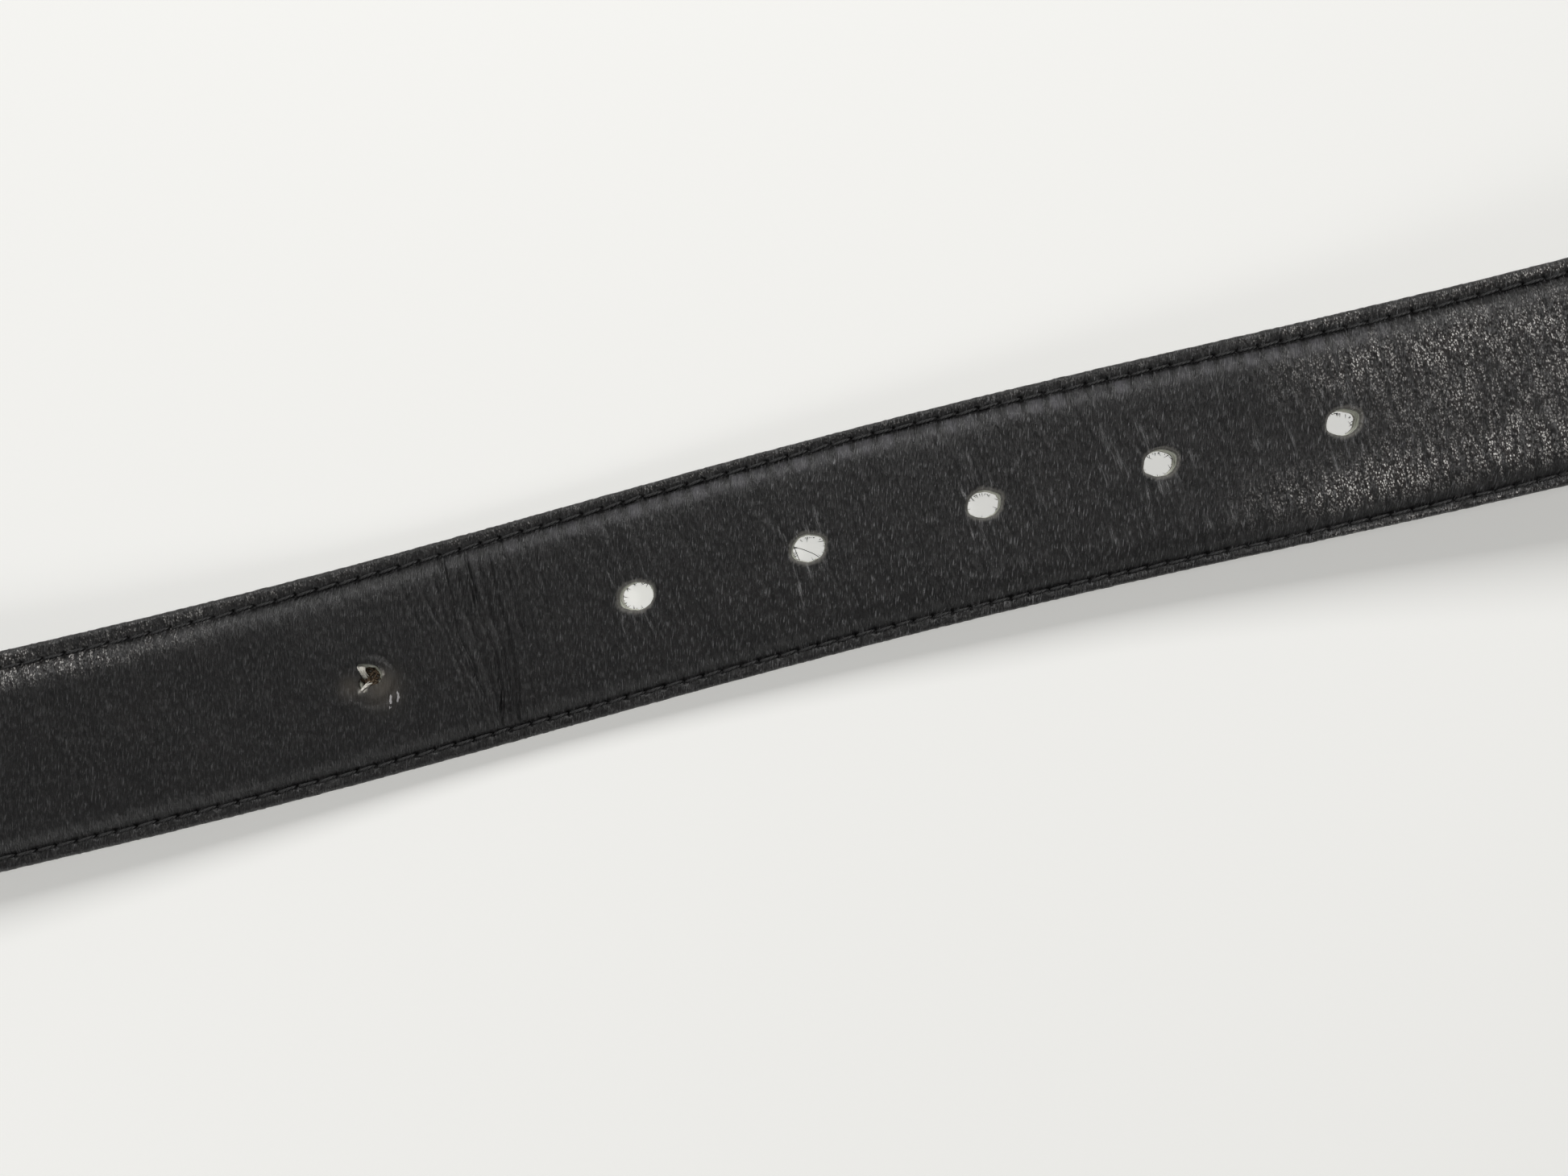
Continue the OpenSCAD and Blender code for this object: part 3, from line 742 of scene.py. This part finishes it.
half_cols = np.array([*np.arange(0.36, 9, 0.36), *np.arange(9.1, 12.3, 0.3), *np.arange(12.3, 13.9, 0.15),
                      14.1, 14.35, 14.55, 14.72, 14.86, 14.95, HALF_W])
FACE_COLS = np.array([*-half_cols[::-1], 0, *half_cols])
rim_cols = np.array([12.5, 12.75, 13, 13.25, 13.5, 14.2, 14.7, 14.9, HALF_W])
PAD_COLS = np.unique(np.round([*np.arange(-3.3, 3.31, 0.3), *np.arange(-12, 12.1, 1.5)], 2))
PLAIN_COLS = np.unique([*PAD_COLS, *rim_cols, *-rim_cols])
NOSE_ROWS = [(ARC_X, TIP - 6, 0.5), (TIP - 6, TIP - 1, 0.25), (TIP - 1, TIP - 0.02, 0.07)]
EDGE_IN, EDGE_DOWN = 0.65, 0.62     # how far in and down the face's edge is rounded
LIP_DOWN = 0.16                     # the same at the rim of a hole
HOLE_ZONE, FINE_STEP = 3.6, 0.3     # the hidden layers have fine rows this far from a hole's middle
wrap_start = -(math.pi * WRAP_OUT + TURNBACK)


def settle(obj, nodes=(), j=None, body=None):
    """Bakes a piece's placement into its mesh when bend j is given, ties it to a body if one is given, and
    hides the CAD nodes it stands for.
    """
    if j:
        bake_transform(obj)
    if body:
        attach(obj, body)
    if nodes:
        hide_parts(*nodes)


def replaced(layer, j):
    """Piece 8 also stands for the last section."""
    return [f"{layer}_{j}"] + ([f"{layer}_9"] if j == 8 else [])


def pieces_of(rows, start):
    """The row ranges of the eight pieces, from the middle of one section to the middle of the next."""
    marks = [int(np.argmin(abs(rows - v))) for v in (start, *MIDS, rows[-1])]
    return [(j, slice(marks[j - 1], marks[j] + 1)) for j in range(1, 9)]


def wrapped(q, t, depth, height):
    """The face leather's path: along the top, round the crossbar and back along the underside."""
    flat = place(np.maximum(q, 0), t, height)
    angle = np.clip(-q / WRAP_OUT, 0, math.pi)
    r = WRAP_OUT - depth
    back = np.maximum(-q - math.pi * WRAP_OUT, 0)
    x = PIN_X - r * np.sin(angle) + back
    turned = np.stack([x, t, base(0.0) + WRAP_OUT + r * np.cos(angle)], -1) * MM
    return np.where((q >= 0)[..., None], flat, turned)


def face_wear_and_painted_light(s, t, c):
    """The leather's point fields at (s, t), where s and t are already pulled to the holes' edges."""
    x = s - HOLES[4]
    # painted sheen, which also marks where the leather is glossier: lobes on both shoulders and the middle by
    # the last hole
    sheen = 0.95 * bell(t - 7.3, 3.5) * ramp(x, -12, 8)
    sheen += 0.95 * bell(t + 8.2, 3.1) * ramp(x, -20, -1) + 0.62 * bell(t, 5.5) * ramp(x, 0, 15)
    sheen *= (0.8 + 0.35 * noise(x / 5, t / 5, 51)) * ramp(12.6 - abs(t), 0, 1.3)
    sheen *= 1 - 0.75 * ramp(s, SEEN[1], 1072)
    left = ramp(s, 690, 795)
    # a painted highlight band along the top shoulder at the left
    sheen += 0.95 * ramp(-s, -850, -815) * left * bell(t - 11.3, 1.4) * (0.8 + 0.3 * noise(s / 2, t, 53))
    # painted glints on the rims, more on the top side, where the rims are also glossier
    rim = ramp(abs(c), 13.5, 14.0) * ramp(-abs(c), -14.9, -14.4)
    rim_gloss_and_painted_glints = np.where(t > 0, 0.16 + 0.3 * ramp(-s, -850, -820) * left, 0.04)
    rim_gloss_and_painted_glints += 0.4 * ramp(s, HOLES[3], HOLES[4] + 12)
    sheen += rim * rim_gloss_and_painted_glints * (1 + 0.9 * noise(s / 3, t, 52))
    ax, ay = s - AWL[0], t - AWL[1]
    dust = bell(np.hypot(ax - 1.5, ay + 1.8), 2.4) + 0.7 * bell(np.hypot(ax + 2.8, ay + 0.6), 1.5)
    scuff = np.zeros(s.shape)
    for fx, fy, r in ((2.3, -3.2, 0.3), (2.15, -3.9, 0.26), (1.95, -4.7, 0.26), (3.35, -2.9, 0.2),
                      (3.4, -3.5, 0.26), (3.2, -4.0, 0.22)):
        scuff += bell(ax - fx, r * 0.75) * bell(ay - fy, r * 1.5)
    return sheen, dust, scuff


def make_face():
    rows = graded((wrap_start, -20, 1.2), (-20, 14, 0.4), (14, 110, 1.2), (110, SEEN[0] - 6, 1.3),
                  (SEEN[0] - 6, CREASE - 12, 0.32), (CREASE - 12, CREASE + 10, 0.18),
                  (CREASE + 10, SEEN[1] + 6, 0.3), (SEEN[1] + 6, ARC_X, 1.2), *NOSE_ROWS)
    s, c = np.meshgrid(rows, FACE_COLS, indexing="ij")
    t = across(s, c)
    holes = [*punch, awl, prong_slot]
    keep, s1, t1 = open_holes(s, t, holes, [0.0] * 7)
    _, s2, t2 = open_holes(s, t, holes, [0.24] * 5 + [awl_slope, 0.12])
    body = section(s1, t1)
    rounding = LIP_DOWN * ramp(-nearest_gap(holes, s, t), -0.4, 0.1)
    edge_gap = np.clip((HALF_W - abs(c)) / EDGE_IN, 0, 1)
    edge_drop = EDGE_DOWN * (1 - np.sqrt(np.maximum(1 - (1 - edge_gap) ** 2, 0)))
    lift, painted_glint = relief(s1, t1)
    pulled, painted_gleam = needle_relief(s1, t1)
    top = np.maximum(body, np.where(s1 < LEG_END, leg(np.maximum(s1, 0)), 0))
    top += (lift + pulled) * ramp(s1, 2, 8) - rounding - edge_drop
    wrap_under = 2 * WRAP_OUT - SKIN_T
    under = np.where(s2 < PAD_START, wrap_under + (BOARD_TOP - wrap_under) * s2 / PAD_START,
                     np.maximum(BOARD_TOP, body - SKIN_T))
    rough_edge = 0.05 * noise(s1 / 0.45, 0, 31) * (abs(c) > 14.2) * (half_width(s1) > 2) * np.sign(c)
    depth = np.where(s1 < 0, edge_drop * 0.4 + rounding * 0.6, 0)
    outer = wrapped(s1, t1 + rough_edge, depth, top)
    inner = wrapped(s2, t2, SKIN_T, np.minimum(under, top - 0.25))
    normals = row_normals(outer)
    sheen, dust, scuff = face_wear_and_painted_light(s1, t1, c)
    torn = ramp(-awl.gap(s, t), -0.25, -0.02) * 2.6
    raw = torn * np.clip(awl_slope(np.arctan2(t1 - AWL[1], s1 - AWL[0])) - 0.22, 0, 1)
    raw += 0.16 * ramp(-nearest_gap(punch, s1, t1), -0.12, -0.01)
    wear_and_painted_light = dict(zip(WEAR_AND_PAINTED_LIGHT, (sheen, scuff, dust, raw, painted_gleam, painted_glint)))
    for j, part in pieces_of(rows, wrap_start):
        obj = slab(f"strap_leather_{j}", outer[part], inner[part], keep[part.start:part.stop - 1], calf,
                   np.stack([s1[part], t1[part]], -1) * MM, normals[part],
                   **{key: np.clip(value[part], 0, 1) for key, value in wear_and_painted_light.items()})
        settle(obj, replaced("face_leather", j), j)


def make_plain(layer, material, cols, start, low, high, holes, fray, side_gap=0.0):
    """A hidden or plain layer between two heights. low and high take (s, t)."""
    rows = graded((start, SEEN[0], 3.0), (SEEN[0], SEEN[1], 1.5), (SEEN[1], ARC_X, 2.0), *NOSE_ROWS)
    centres = [*HOLES, AWL[0]]
    rows = rows[abs(rows[:, None] - centres).min(axis=1) > HOLE_ZONE + 0.2]
    fine = [np.arange(x - HOLE_ZONE, x + HOLE_ZONE + 0.1, FINE_STEP) for x in centres]
    rows = np.unique(np.round(np.concatenate([rows, *fine]), 3))
    s, c = np.meshgrid(rows, cols, indexing="ij")
    t = across(s, c) * (1 - side_gap / HALF_W)
    keep, s, t = open_holes(s, t, holes, [0.0] * len(holes))
    top, bottom = place(s, t, high(s, t)), place(s, t, low(s, t))
    raw = ramp(-nearest_gap(holes, s, t), -0.25, -0.02)
    for j, part in pieces_of(rows, start):
        obj = slab(f"{layer}_layer_{j}", top[part], bottom[part], keep[part.start:part.stop - 1], material,
                   np.stack([s[part], t[part]], -1) * MM, fray=fray, raw=raw[part])
        settle(obj, replaced(layer, j), j)


def tight(amount, awl_r, shift):
    """The hole outlines of a lower layer, a little inside the face's."""
    smaller = [Round(*h.centre, h.angles, np.minimum(h.radii, 2.62) - amount) for h in punch]
    jag = np.random.default_rng(90 + shift).normal(0, 0.1, len(compass))
    return smaller + [Round(AWL[0] + 0.15 * shift, AWL[1] - 0.1 * shift, compass, awl_r + jag)]


def level(value):
    return lambda s, t: np.full(s.shape, value)


def padding_top(s, t):
    return np.maximum(section(s, t) - SKIN_T - 0.02, BOARD_TOP + 0.02)


def lining_under(s, t):
    """The lining's underside, with the groove that the bobbin thread lies in."""
    grooves = sum(0.22 * bell(t - side * (half_width(s) - inset(s, side)), 0.36) for side in (1, -1))
    return grooves + 0.02 * noise(s / 2.2, t / 1.6, 81) + 0.03


make_face()
make_plain("padding", padding_fibre, PAD_COLS, PAD_START, level(BOARD_TOP), padding_top,
           tight(0.26, 1.5, 0), fray=0.05)
make_plain("core_board", board_fibre, PLAIN_COLS, BOARD_START, level(SKIN_T),
           level(BOARD_TOP - 0.01), tight(0.32, 0.8, 1), fray=0.03, side_gap=0.06)
make_plain("lining", split, PLAIN_COLS, TURNBACK + 0.15, lining_under, level(SKIN_T - 0.01),
           tight(0.3, 0.55, -1), fray=0.04, side_gap=0.02)

# ---------- stitching ----------

STRAND_SIDES = 6
piece_marks = [-10, *MIDS, TIP + 1]


def piece_at(s):
    return int(np.searchsorted(piece_marks, s))


def strand(s, t, h, radius):
    """Points in mm, faces and UVs of a thin round strand through places on the strap."""
    points = place(s, t, h) / MM
    ahead = np.gradient(points, axis=0)
    ahead /= np.linalg.norm(ahead, axis=1, keepdims=True)
    side = np.cross(ahead, UP)
    side /= np.linalg.norm(side, axis=1, keepdims=True)
    up = np.cross(side, ahead)
    a = np.linspace(0, 2 * np.pi, STRAND_SIDES, endpoint=False)
    radius = np.broadcast_to(radius, len(points))[:, None, None]
    ring = points[:, None] + radius * (np.cos(a)[:, None] * side[:, None] + np.sin(a)[:, None] * up[:, None])
    ids = np.arange(ring.shape[0] * STRAND_SIDES).reshape(-1, STRAND_SIDES)
    beside = np.roll(ids, -1, 1)
    faces = np.stack([ids[:-1], ids[1:], beside[1:], beside[:-1]], -1).reshape(-1, 4).tolist()
    faces += [ids[0].tolist(), ids[-1][::-1].tolist()]
    uv = np.stack(np.broadcast_arrays(run_of(points)[:, None], (a * 0.25)[None]), -1).reshape(-1, 2) * MM
    return ring.reshape(-1, 3), faces, uv


def add_strands(name, strands, material):
    """One object from many strands."""
    faces, first = [], 0
    for points, its_faces, _ in strands:
        faces += [[first + i for i in face] for face in its_faces]
        first += len(points)
    points, uv = (np.concatenate([one[k] for one in strands]) for k in (0, 2))
    return add_mesh(name, points * MM, faces, material, uv)


def stitch(start, end, surface, outward, radius, proud):
    """A stitch from one needle hole to the next: up out of the leather, along, and down again."""
    f = np.array([0.0, 0.05, 0.14, 0.3, 0.5, 0.7, 0.86, 0.95, 1.0])
    s, t = (a + (b - a) * f for a, b in zip(start, end))
    dip = -0.5 * abs(2 * f - 1) ** 7 + 0.1 * (1 - (2 * f - 1) ** 2)
    return strand(s, t, surface(s) + outward * (dip + proud), radius)


def needle_top(s):
    return np.maximum(RIM_T - 0.14, np.where(s < LEG_END, leg(s) - 0.1, 0))


def make_stitching():
    per_piece = {j: [] for j in range(1, 9)}
    for side, (ns, nt) in rows_of_stitches.items():
        rng = np.random.default_rng(3 + side)
        for s0, t0, s1, t1 in zip(ns[:-1], nt[:-1], ns[1:], nt[1:]):
            w0, w1 = rng.normal(0, 0.05, 2)
            per_piece[piece_at((s0 + s1) / 2)] += [
                stitch((s0 + 0.24, t0 + w0 - 0.09), (s1 - 0.24, t1 + w1 + 0.09), needle_top, 1, 0.21, 0.0735),
                stitch((s0 + 0.1, t0), (s1 - 0.1, t1), lambda s: 0.38, -1, 0.2, 0.07)]
    for j, strands in per_piece.items():
        settle(add_strands(f"thread_{j}", strands, waxed), replaced("stitching", j), j)
    y = np.arange(-8.7, 8.8, 2.9)
    cross = [stitch((CROSS_STITCH, a + 0.1), (CROSS_STITCH, b - 0.1), lambda s, h=height: h, out, 0.22, 0)
             for a, b in zip(y[:-1], y[1:]) for height, out in ((CROWN_T + 0.05, 1), (0.02, -1))]
    settle(add_strands("turnback_thread", cross, waxed), ["turnback_stitching"], body="strap_1")


make_stitching()

# ---------- fibres at the holes ----------

def lining_ends(i):
    """Ragged ends of the lining round one punched hole."""
    rng = np.random.default_rng(200 + i)
    hole = tight(0.3, 0.5, 0)[i]
    f = np.linspace(0, 1, 5)
    ends = []
    for angle in rng.uniform(0, 2 * np.pi, 34):
        r0, length = hole.radius(angle) + 0.05, rng.uniform(0.25, 0.95) * rng.uniform(0.4, 1)
        swing = angle + rng.normal(0, 0.5)
        s = HOLES[i] + r0 * math.cos(angle) - length * f * math.cos(swing)
        t = r0 * math.sin(angle) - length * f * math.sin(swing) + 0.1 * length * f ** 2
        h = rng.uniform(0.1, 0.8) + 0.15 * f * rng.normal()
        ends.append(strand(s, t, h, 0.06 * (1 - 0.75 * f)))
    return ends


def stray_strands():
    """Two strands across the second hole."""
    f = np.linspace(0, 1, 14)
    out = []
    for a0, a1, sag in ((165, -55, 0.5), (150, 225, -0.3)):
        (s0, t0), (s1, t1) = (punch[1].centre + 2.3 * np.array([math.cos(a), math.sin(a)])
                              for a in (math.radians(a0), math.radians(a1)))
        t = t0 + (t1 - t0) * f + sag * np.sin(np.pi * f) + 0.06 * np.sin(9 * f)
        out.append(strand(s0 + (s1 - s0) * f, t, 0.7 + 0.2 * np.sin(5 * f), 0.05))
    return out


def awl_fibres():
    """Torn fibre over the hole made by hand, and the brown fibre in it."""
    rng = np.random.default_rng(77)
    f = np.linspace(0, 1, 7)
    arch = np.sin(np.pi * f)
    tufts, pit = [], []
    for _ in range(110):
        g = rng.uniform(0, 1)
        x, y = AWL[0] - 1.75 + 1.5 * g + rng.normal(0, 0.07), AWL[1] + 2.15 - 0.4 * g + rng.normal(0, 0.07)
        dx, dy = (AWL[0] - 0.62 - x) * 0.9 + rng.normal(0, 0.13), (AWL[1] + 0.3 - y) + rng.normal(0, 0.22)
        h = 3.3 + rng.uniform(-0.25, 0.4) + 0.25 * arch - 0.8 * f ** 2
        tufts.append(strand(x + dx * f, y + dy * f, h, 0.1 * (1 - 0.6 * f)))
    for _ in range(26):
        g = rng.uniform(0, 1)
        x, y = AWL[0] - 1.6 + 1.3 * g + rng.normal(0, 0.1), AWL[1] - 1.5 + 0.7 * g + rng.normal(0, 0.1)
        dx, dy = 0.7 + rng.normal(0, 0.25), 0.45 + rng.normal(0, 0.2)
        h = 3.35 + rng.uniform(-0.2, 0.3) + 0.15 * arch
        tufts.append(strand(x + dx * (f - 0.4), y + dy * (f - 0.4), h, 0.085 * (1 - 0.5 * f)))
    for _ in range(110):
        a, r = rng.uniform(0, 2 * np.pi), 1.6 * math.sqrt(rng.uniform(0, 1))
        x, y = AWL[0] + 0.2 + r * math.cos(a), AWL[1] - 0.1 + r * math.sin(a)
        d = rng.uniform(0, 2 * np.pi)
        length = rng.uniform(0.7, 1.5) * (f - 0.5)
        h = 2.0 + rng.uniform(-0.4, 0.55) + 0.3 * arch
        pit.append(strand(x + length * math.cos(d), y + length * math.sin(d), h, 0.13 * (1 - 0.5 * f)))
    return tufts, pit


def make_fibres():
    groups = {}
    for i, x0 in enumerate(HOLES):
        groups.setdefault(piece_at(x0), []).extend(lining_ends(i))
    groups[piece_at(HOLES[1])] += stray_strands()
    for j, strands in groups.items():
        settle(add_strands(f"lining_fibres_{j}", strands, stray), j=j)
    for name, strands, material in zip(("torn_fibres", "pit_fibres"), awl_fibres(), (torn_fibre, pit_fibre)):
        settle(add_strands(name, strands, material), j=piece_at(AWL[0]))


make_fibres()

# ---------- keepers ----------

def keeper(name, node, body, x0, z0, low_t):
    """A strip of the same leather, doubled over its edges and closed into a loop round the strap."""
    z1, r = CROWN_T + KEEPER_ROOM, 0.9
    hw = HALF_W + SIDE_AIR
    corners = np.array([(0, hw, z1), (0, -hw, z1), (0, -hw, z0), (0, hw, z0)])
    path, out = [], []
    for i, here in enumerate(corners):
        centre = here - [0, math.copysign(r, here[1]), r if i < 2 else -r]
        for a in np.radians(np.linspace(90 * i, 90 * (i + 1), 9)):
            d = np.array([0, math.cos(a), math.sin(a)])
            path.append(centre + r * d)
            out.append(d)
        to_next = corners[(i + 1) % 4] - here
        run = np.linalg.norm(to_next)
        for g in np.linspace(0, 1, 12 if run > 20 else 5)[1:-1]:
            path.append(here + to_next * (r + (run - 2 * r) * g) / run)
            out.append(d)
    path, out = np.array(path), np.array(out)
    bulge = 0.35 * np.maximum(0, 1 - (path[:, 1] / hw) ** 2) * (path[:, 2] > (z0 + z1) / 2)
    wave = 0.06 * noise(path[:, 1] / 4, path[:, 2] / 3, 99)
    path = path + out * (bulge + wave)[:, None] + [PIN_X + x0 + KEEPER_LEN / 2, 0, base(0.0)]
    shape = rounded_box(KEEPER_LEN / 2, KEEPER_T / 2, 0.45, crown=0.12)
    groove = -0.14 * bell(abs(shape[:, 0]) - KEEPER_LEN / 2 + 1.1, 0.2) * (shape[:, 1] > 0)
    shape[:, 1] += KEEPER_T / 2 + groove
    shapes = np.broadcast_to(shape, (len(path),) + shape.shape).copy()
    shapes[path[:, 2] < base(0.0) + z0 + 0.05, :, 1] *= low_t / KEEPER_T
    obj = sweep(name, path, [1.0, 0, 0], out, shapes, calf, closed=True)
    for key in WEAR_AND_PAINTED_LIGHT:
        obj.data.attributes.new(key, "FLOAT", "POINT")
    settle(obj, [node], body=body)


def make_staple():
    """The wire staple that closes the free keeper, with its legs turned down into the leather."""
    half = [(4.25, -1.4), (4.25, -0.75), (4.1, -0.5), (3.85, -0.42), (2, -0.4)]
    yz = np.array(half + [(0, -0.4)] + [(-y, z) for y, z in half[::-1]])
    path = np.insert(yz, 0, 0, axis=1) + [PIN_X + FREE_AT + KEEPER_LEN / 2, 0, base(0.0)]
    legs = [[0, 1, 0], [0, 1, 0], [0, 0.7, 0.7]]
    up = legs + [UP] * 5 + [[0, -y, z] for _, y, z in legs[::-1]]
    wire = sweep("keeper_staple", path, [1.0, 0, 0], up, rounded_box(0.5, 0.22, 0.15, 3), steel)
    settle(wire, ["free_keeper_staple"], body="keeper")


keeper("fixed_keeper_loop", "fixed_keeper", "strap_1", FIXED_AT, BOARD_TOP, 0.8)
keeper("free_keeper_loop", "free_keeper", "keeper", FREE_AT, -0.2, 1.42)
make_staple()

# ---------- buckle: made level about the crossbar, then tipped down to the table ----------

REACH, BAR_W, FRAME_T, CORNER = 30.0, 5.0, 4.4, 7.0
SIDE_Y = HALF_W + SIDE_AIR + BAR_W / 2
DROOP = math.asin((PIN_Z - FRAME_T / 2) / (REACH + BAR_W / 2))
PIN_R = 1.24


def leaned(obj):
    """Tips a piece made level about the crossbar down to the table."""
    pin = Vector((PIN_X, 0, PIN_Z)) * MM
    obj.data.transform(Matrix.Translation(pin) @ Matrix.Rotation(-DROOP, 4, "Y"))
    return obj


def bar_profile():
    """A flat-backed bar with a domed top and eased edges, wider than it is thick."""
    top = [[2.5 - 0.35 * (1 - math.cos(a)), 1.05 + 0.35 * math.sin(a)] for a in np.linspace(0, 0.9, 4)]
    dome = [[y, -1.3 + math.sqrt(3.5 ** 2 - y * y)] for y in np.linspace(2.28, -2.28, 19)]
    low = [[2.1, -2.2], [2.4, -2.0], [2.5, -1.7], [2.5, -0.4]]
    left = [[-y, z] for y, z in (low + top)[::-1]]
    return np.array(top + dome + left + [[0, -2.2]] + low)


def lathe_outline(*half, centre=0.0):
    """A closed outline of (y, radius), from the (radius, y) points on the -Y side of its centre."""
    return [(centre + y, r) for r, y in half] + [(centre - y, r) for r, y in half[::-1]]


def lathe(name, outline, material):
    """An outline of (y, radius) turned about the crossbar's axis."""
    a = np.linspace(0, 2 * np.pi, 49)[:-1]
    circle = np.stack([np.cos(a), 0 * a, np.sin(a)], -1)
    return sweep(name, circle * 0, [0, 1.0, 0], circle, outline, material, closed=True)


def make_frame():
    """Two arms and the front bar, swept round two corners, with an ear for the crossbar on each arm."""
    arm, straight = REACH - CORNER, SIDE_Y - CORNER
    half = [(x, SIDE_Y, 0, 1) for x in np.linspace(0, -arm, 8)[:-1]]
    for a in np.radians(np.linspace(90, 180, 17)):
        c, s = math.cos(a), math.sin(a)
        half.append((-arm + CORNER * c, straight + CORNER * s, c, s))
    half += [(-REACH, y, -1, 0) for y in np.linspace(straight, -straight, 10)[1:5]]
    half = np.array(half)
    loop = np.concatenate([half, half[::-1] * [1, -1, 1, -1]])
    path, side = (np.insert(loop[:, k:k + 2], 2, 0, axis=1) for k in (0, 2))
    parts = [sweep("buckle_bars", path, side, UP, bar_profile(), nickel)]
    ear = [(1.27, -2.45), (1.45, -2.55), (2.7, -2.55), (2.92, -2.47), (3.0, -2.25)]
    for sign in (1, -1):
        parts.append(lathe(f"buckle_ear_{sign}", lathe_outline(*ear, centre=sign * SIDE_Y), nickel))
    settle(leaned(join("buckle_metal_frame", parts)), ["buckle_frame"], body="buckle")


def make_crossbar():
    """A pin with rounded ends, just short of the ears' outer faces."""
    half = HALF_W + SIDE_AIR + BAR_W - 0.1
    outline = lathe_outline((0.02, -half - 0.25), (0.6, -half - 0.2), (1.05, -half), (PIN_R, -half + 0.3))
    outline[4:4] = [(y, PIN_R) for y in np.linspace(-half + 1, half - 1, 9)]
    settle(leaned(lathe("crossbar_pin", outline, steel)), ["crossbar"], body="buckle")


def make_prong():
    """A shaft that narrows and rises over the front bar, on an eye round the crossbar."""
    x = np.array([-1.0, -2.2, -4, -7, -10, -13, -17, -20, -23, -26, -28, -30, -31.2, -31.8, -32.1])
    top = np.array([2.55, 3.0, 3.2, 3.5, 3.8, 4.05, 4.35, 4.5, 4.52, 4.48, 4.42, 4.25, 3.85, 3.4, 2.95])
    low = np.array([0.6, 0.2, 0.6, 1.2, 1.45, 1.65, 1.9, 2.05, 2.2, 2.3, 2.27, 2.24, 2.26, 2.32, 2.45])
    wide = np.array([3.2, 3.4, 3.4, 3.4, 3.38, 3.35, 3.3, 3.25, 3.2, 3.15, 3.1, 3.0, 2.7, 2.3, 1.6])
    path = np.stack([x, 0 * x, (top + low) / 2], -1)
    shapes = [rounded_box(w / 2, (b - a) / 2, min(0.55, (b - a) * 0.4)) for w, a, b in zip(wide, low, top)]
    shaft = sweep("prong_shaft", path, [0, 1.0, 0], UP, shapes, nickel)
    eye_outline = lathe_outline((1.32, -1.45), (1.5, -1.65), (2.5, -1.7), (2.72, -1.58), (2.8, -1.3))
    parts = [shaft, lathe("prong_eye", eye_outline, nickel)]
    settle(leaned(join("prong_metal", parts)), ["prong"], body="tongue")


make_frame()
make_crossbar()
make_prong()

# ---------- floor, light, camera ----------

EYE = Vector(((PIN_X + HOLES[0] + 20.19) * MM, -0.00342, 0.23))


def make_floor():
    """A white table that is faintly lit from within, with painted pools of light where it shows through the
    holes.
    """
    material, tree, shader = new_material("white_table")
    position = own_place(tree)
    bright = 0.29
    # painted pools of light where the camera sees the table through the holes, in the strap's shadow
    for top in place(HOLES, 0, 3.0):
        seen_at = EYE + (Vector(top) - EYE) * (EYE.z / (EYE.z - top[2]))
        away = add("ShaderNodeVectorMath", operation="DISTANCE", I0=position, I1=tuple(seen_at))
        bright = calc("ADD", bright, remap(away.outputs["Value"], 0.0036, 0.0028, 0.0, 0.29))
    tone = mixed(texture(position, 3, 2), (0.66, 0.66, 0.65), (0.7, 0.7, 0.69))
    feed(shader, Base_Color=tone, Roughness=0.55, Specular_IOR_Level=0.3,
         Emission_Color=(1.0, 1.0, 0.965, 1), Emission_Strength=bright)
    corners = 6.0 * np.array([[-1, -1, 0], [1, -1, 0], [1, 1, 0], [-1, 1, 0]])
    floor = add_mesh("table_top", corners, [[0, 1, 2, 3]], material, corners[:, :2])


def add_light(name, at, aim, size, power, colour):
    light = bpy.data.lights.new(name, "AREA")
    light.shape, light.size, light.size_y = "RECTANGLE", *size
    light.energy, light.color = power, colour
    obj = bpy.data.objects.new(name, light)
    bpy.context.scene.collection.objects.link(obj)
    obj.location = at
    obj.rotation_euler = (Vector(aim) - Vector(at)).to_track_quat("-Z", "Y").to_euler()


make_floor()
aim_x = (PIN_X + HOLES[1]) * MM
add_light("window", (aim_x + 0.05, 0.8, 0.8), (aim_x, 0, 0), (0.9, 0.5), 10.0, (1.0, 0.995, 0.98))
add_light("ceiling", (aim_x + 0.8, 0.02, 1.5), (aim_x + 0.1, 0, 0), (0.3, 0.3), 4.0, (1.0, 0.98, 0.95))
add_light("fill", (aim_x - 0.5, -0.45, 0.4), (aim_x - 0.1, 0, 0), (0.4, 0.3), 1.5, (1.0, 0.99, 0.97))

world = bpy.data.worlds.new("studio")
world.use_nodes = True
sky = world.node_tree
direction = add("ShaderNodeTexCoord", sky).outputs["Generated"]
height = add("ShaderNodeSeparateXYZ", Vector=direction).outputs[2]
shade = mixed(remap(height, 0.35, 0.98), (0.88, 0.885, 0.88), (0.12, 0.12, 0.125))
feed(sky.nodes["Background"], Color=shade, Strength=0.22)
bpy.context.scene.world = world
bpy.context.scene.view_settings.view_transform = "Standard"

camera = bpy.data.cameras.new("camera")
camera.sensor_width = 36.0
camera.lens = 37.0
camera.clip_start = 0.01
eye = bpy.data.objects.new("camera", camera)
bpy.context.scene.collection.objects.link(eye)
eye.location = EYE
eye.rotation_euler = (0, 0, math.radians(-13.97))
bpy.context.scene.camera = eye

bpy.context.view_layer.update()
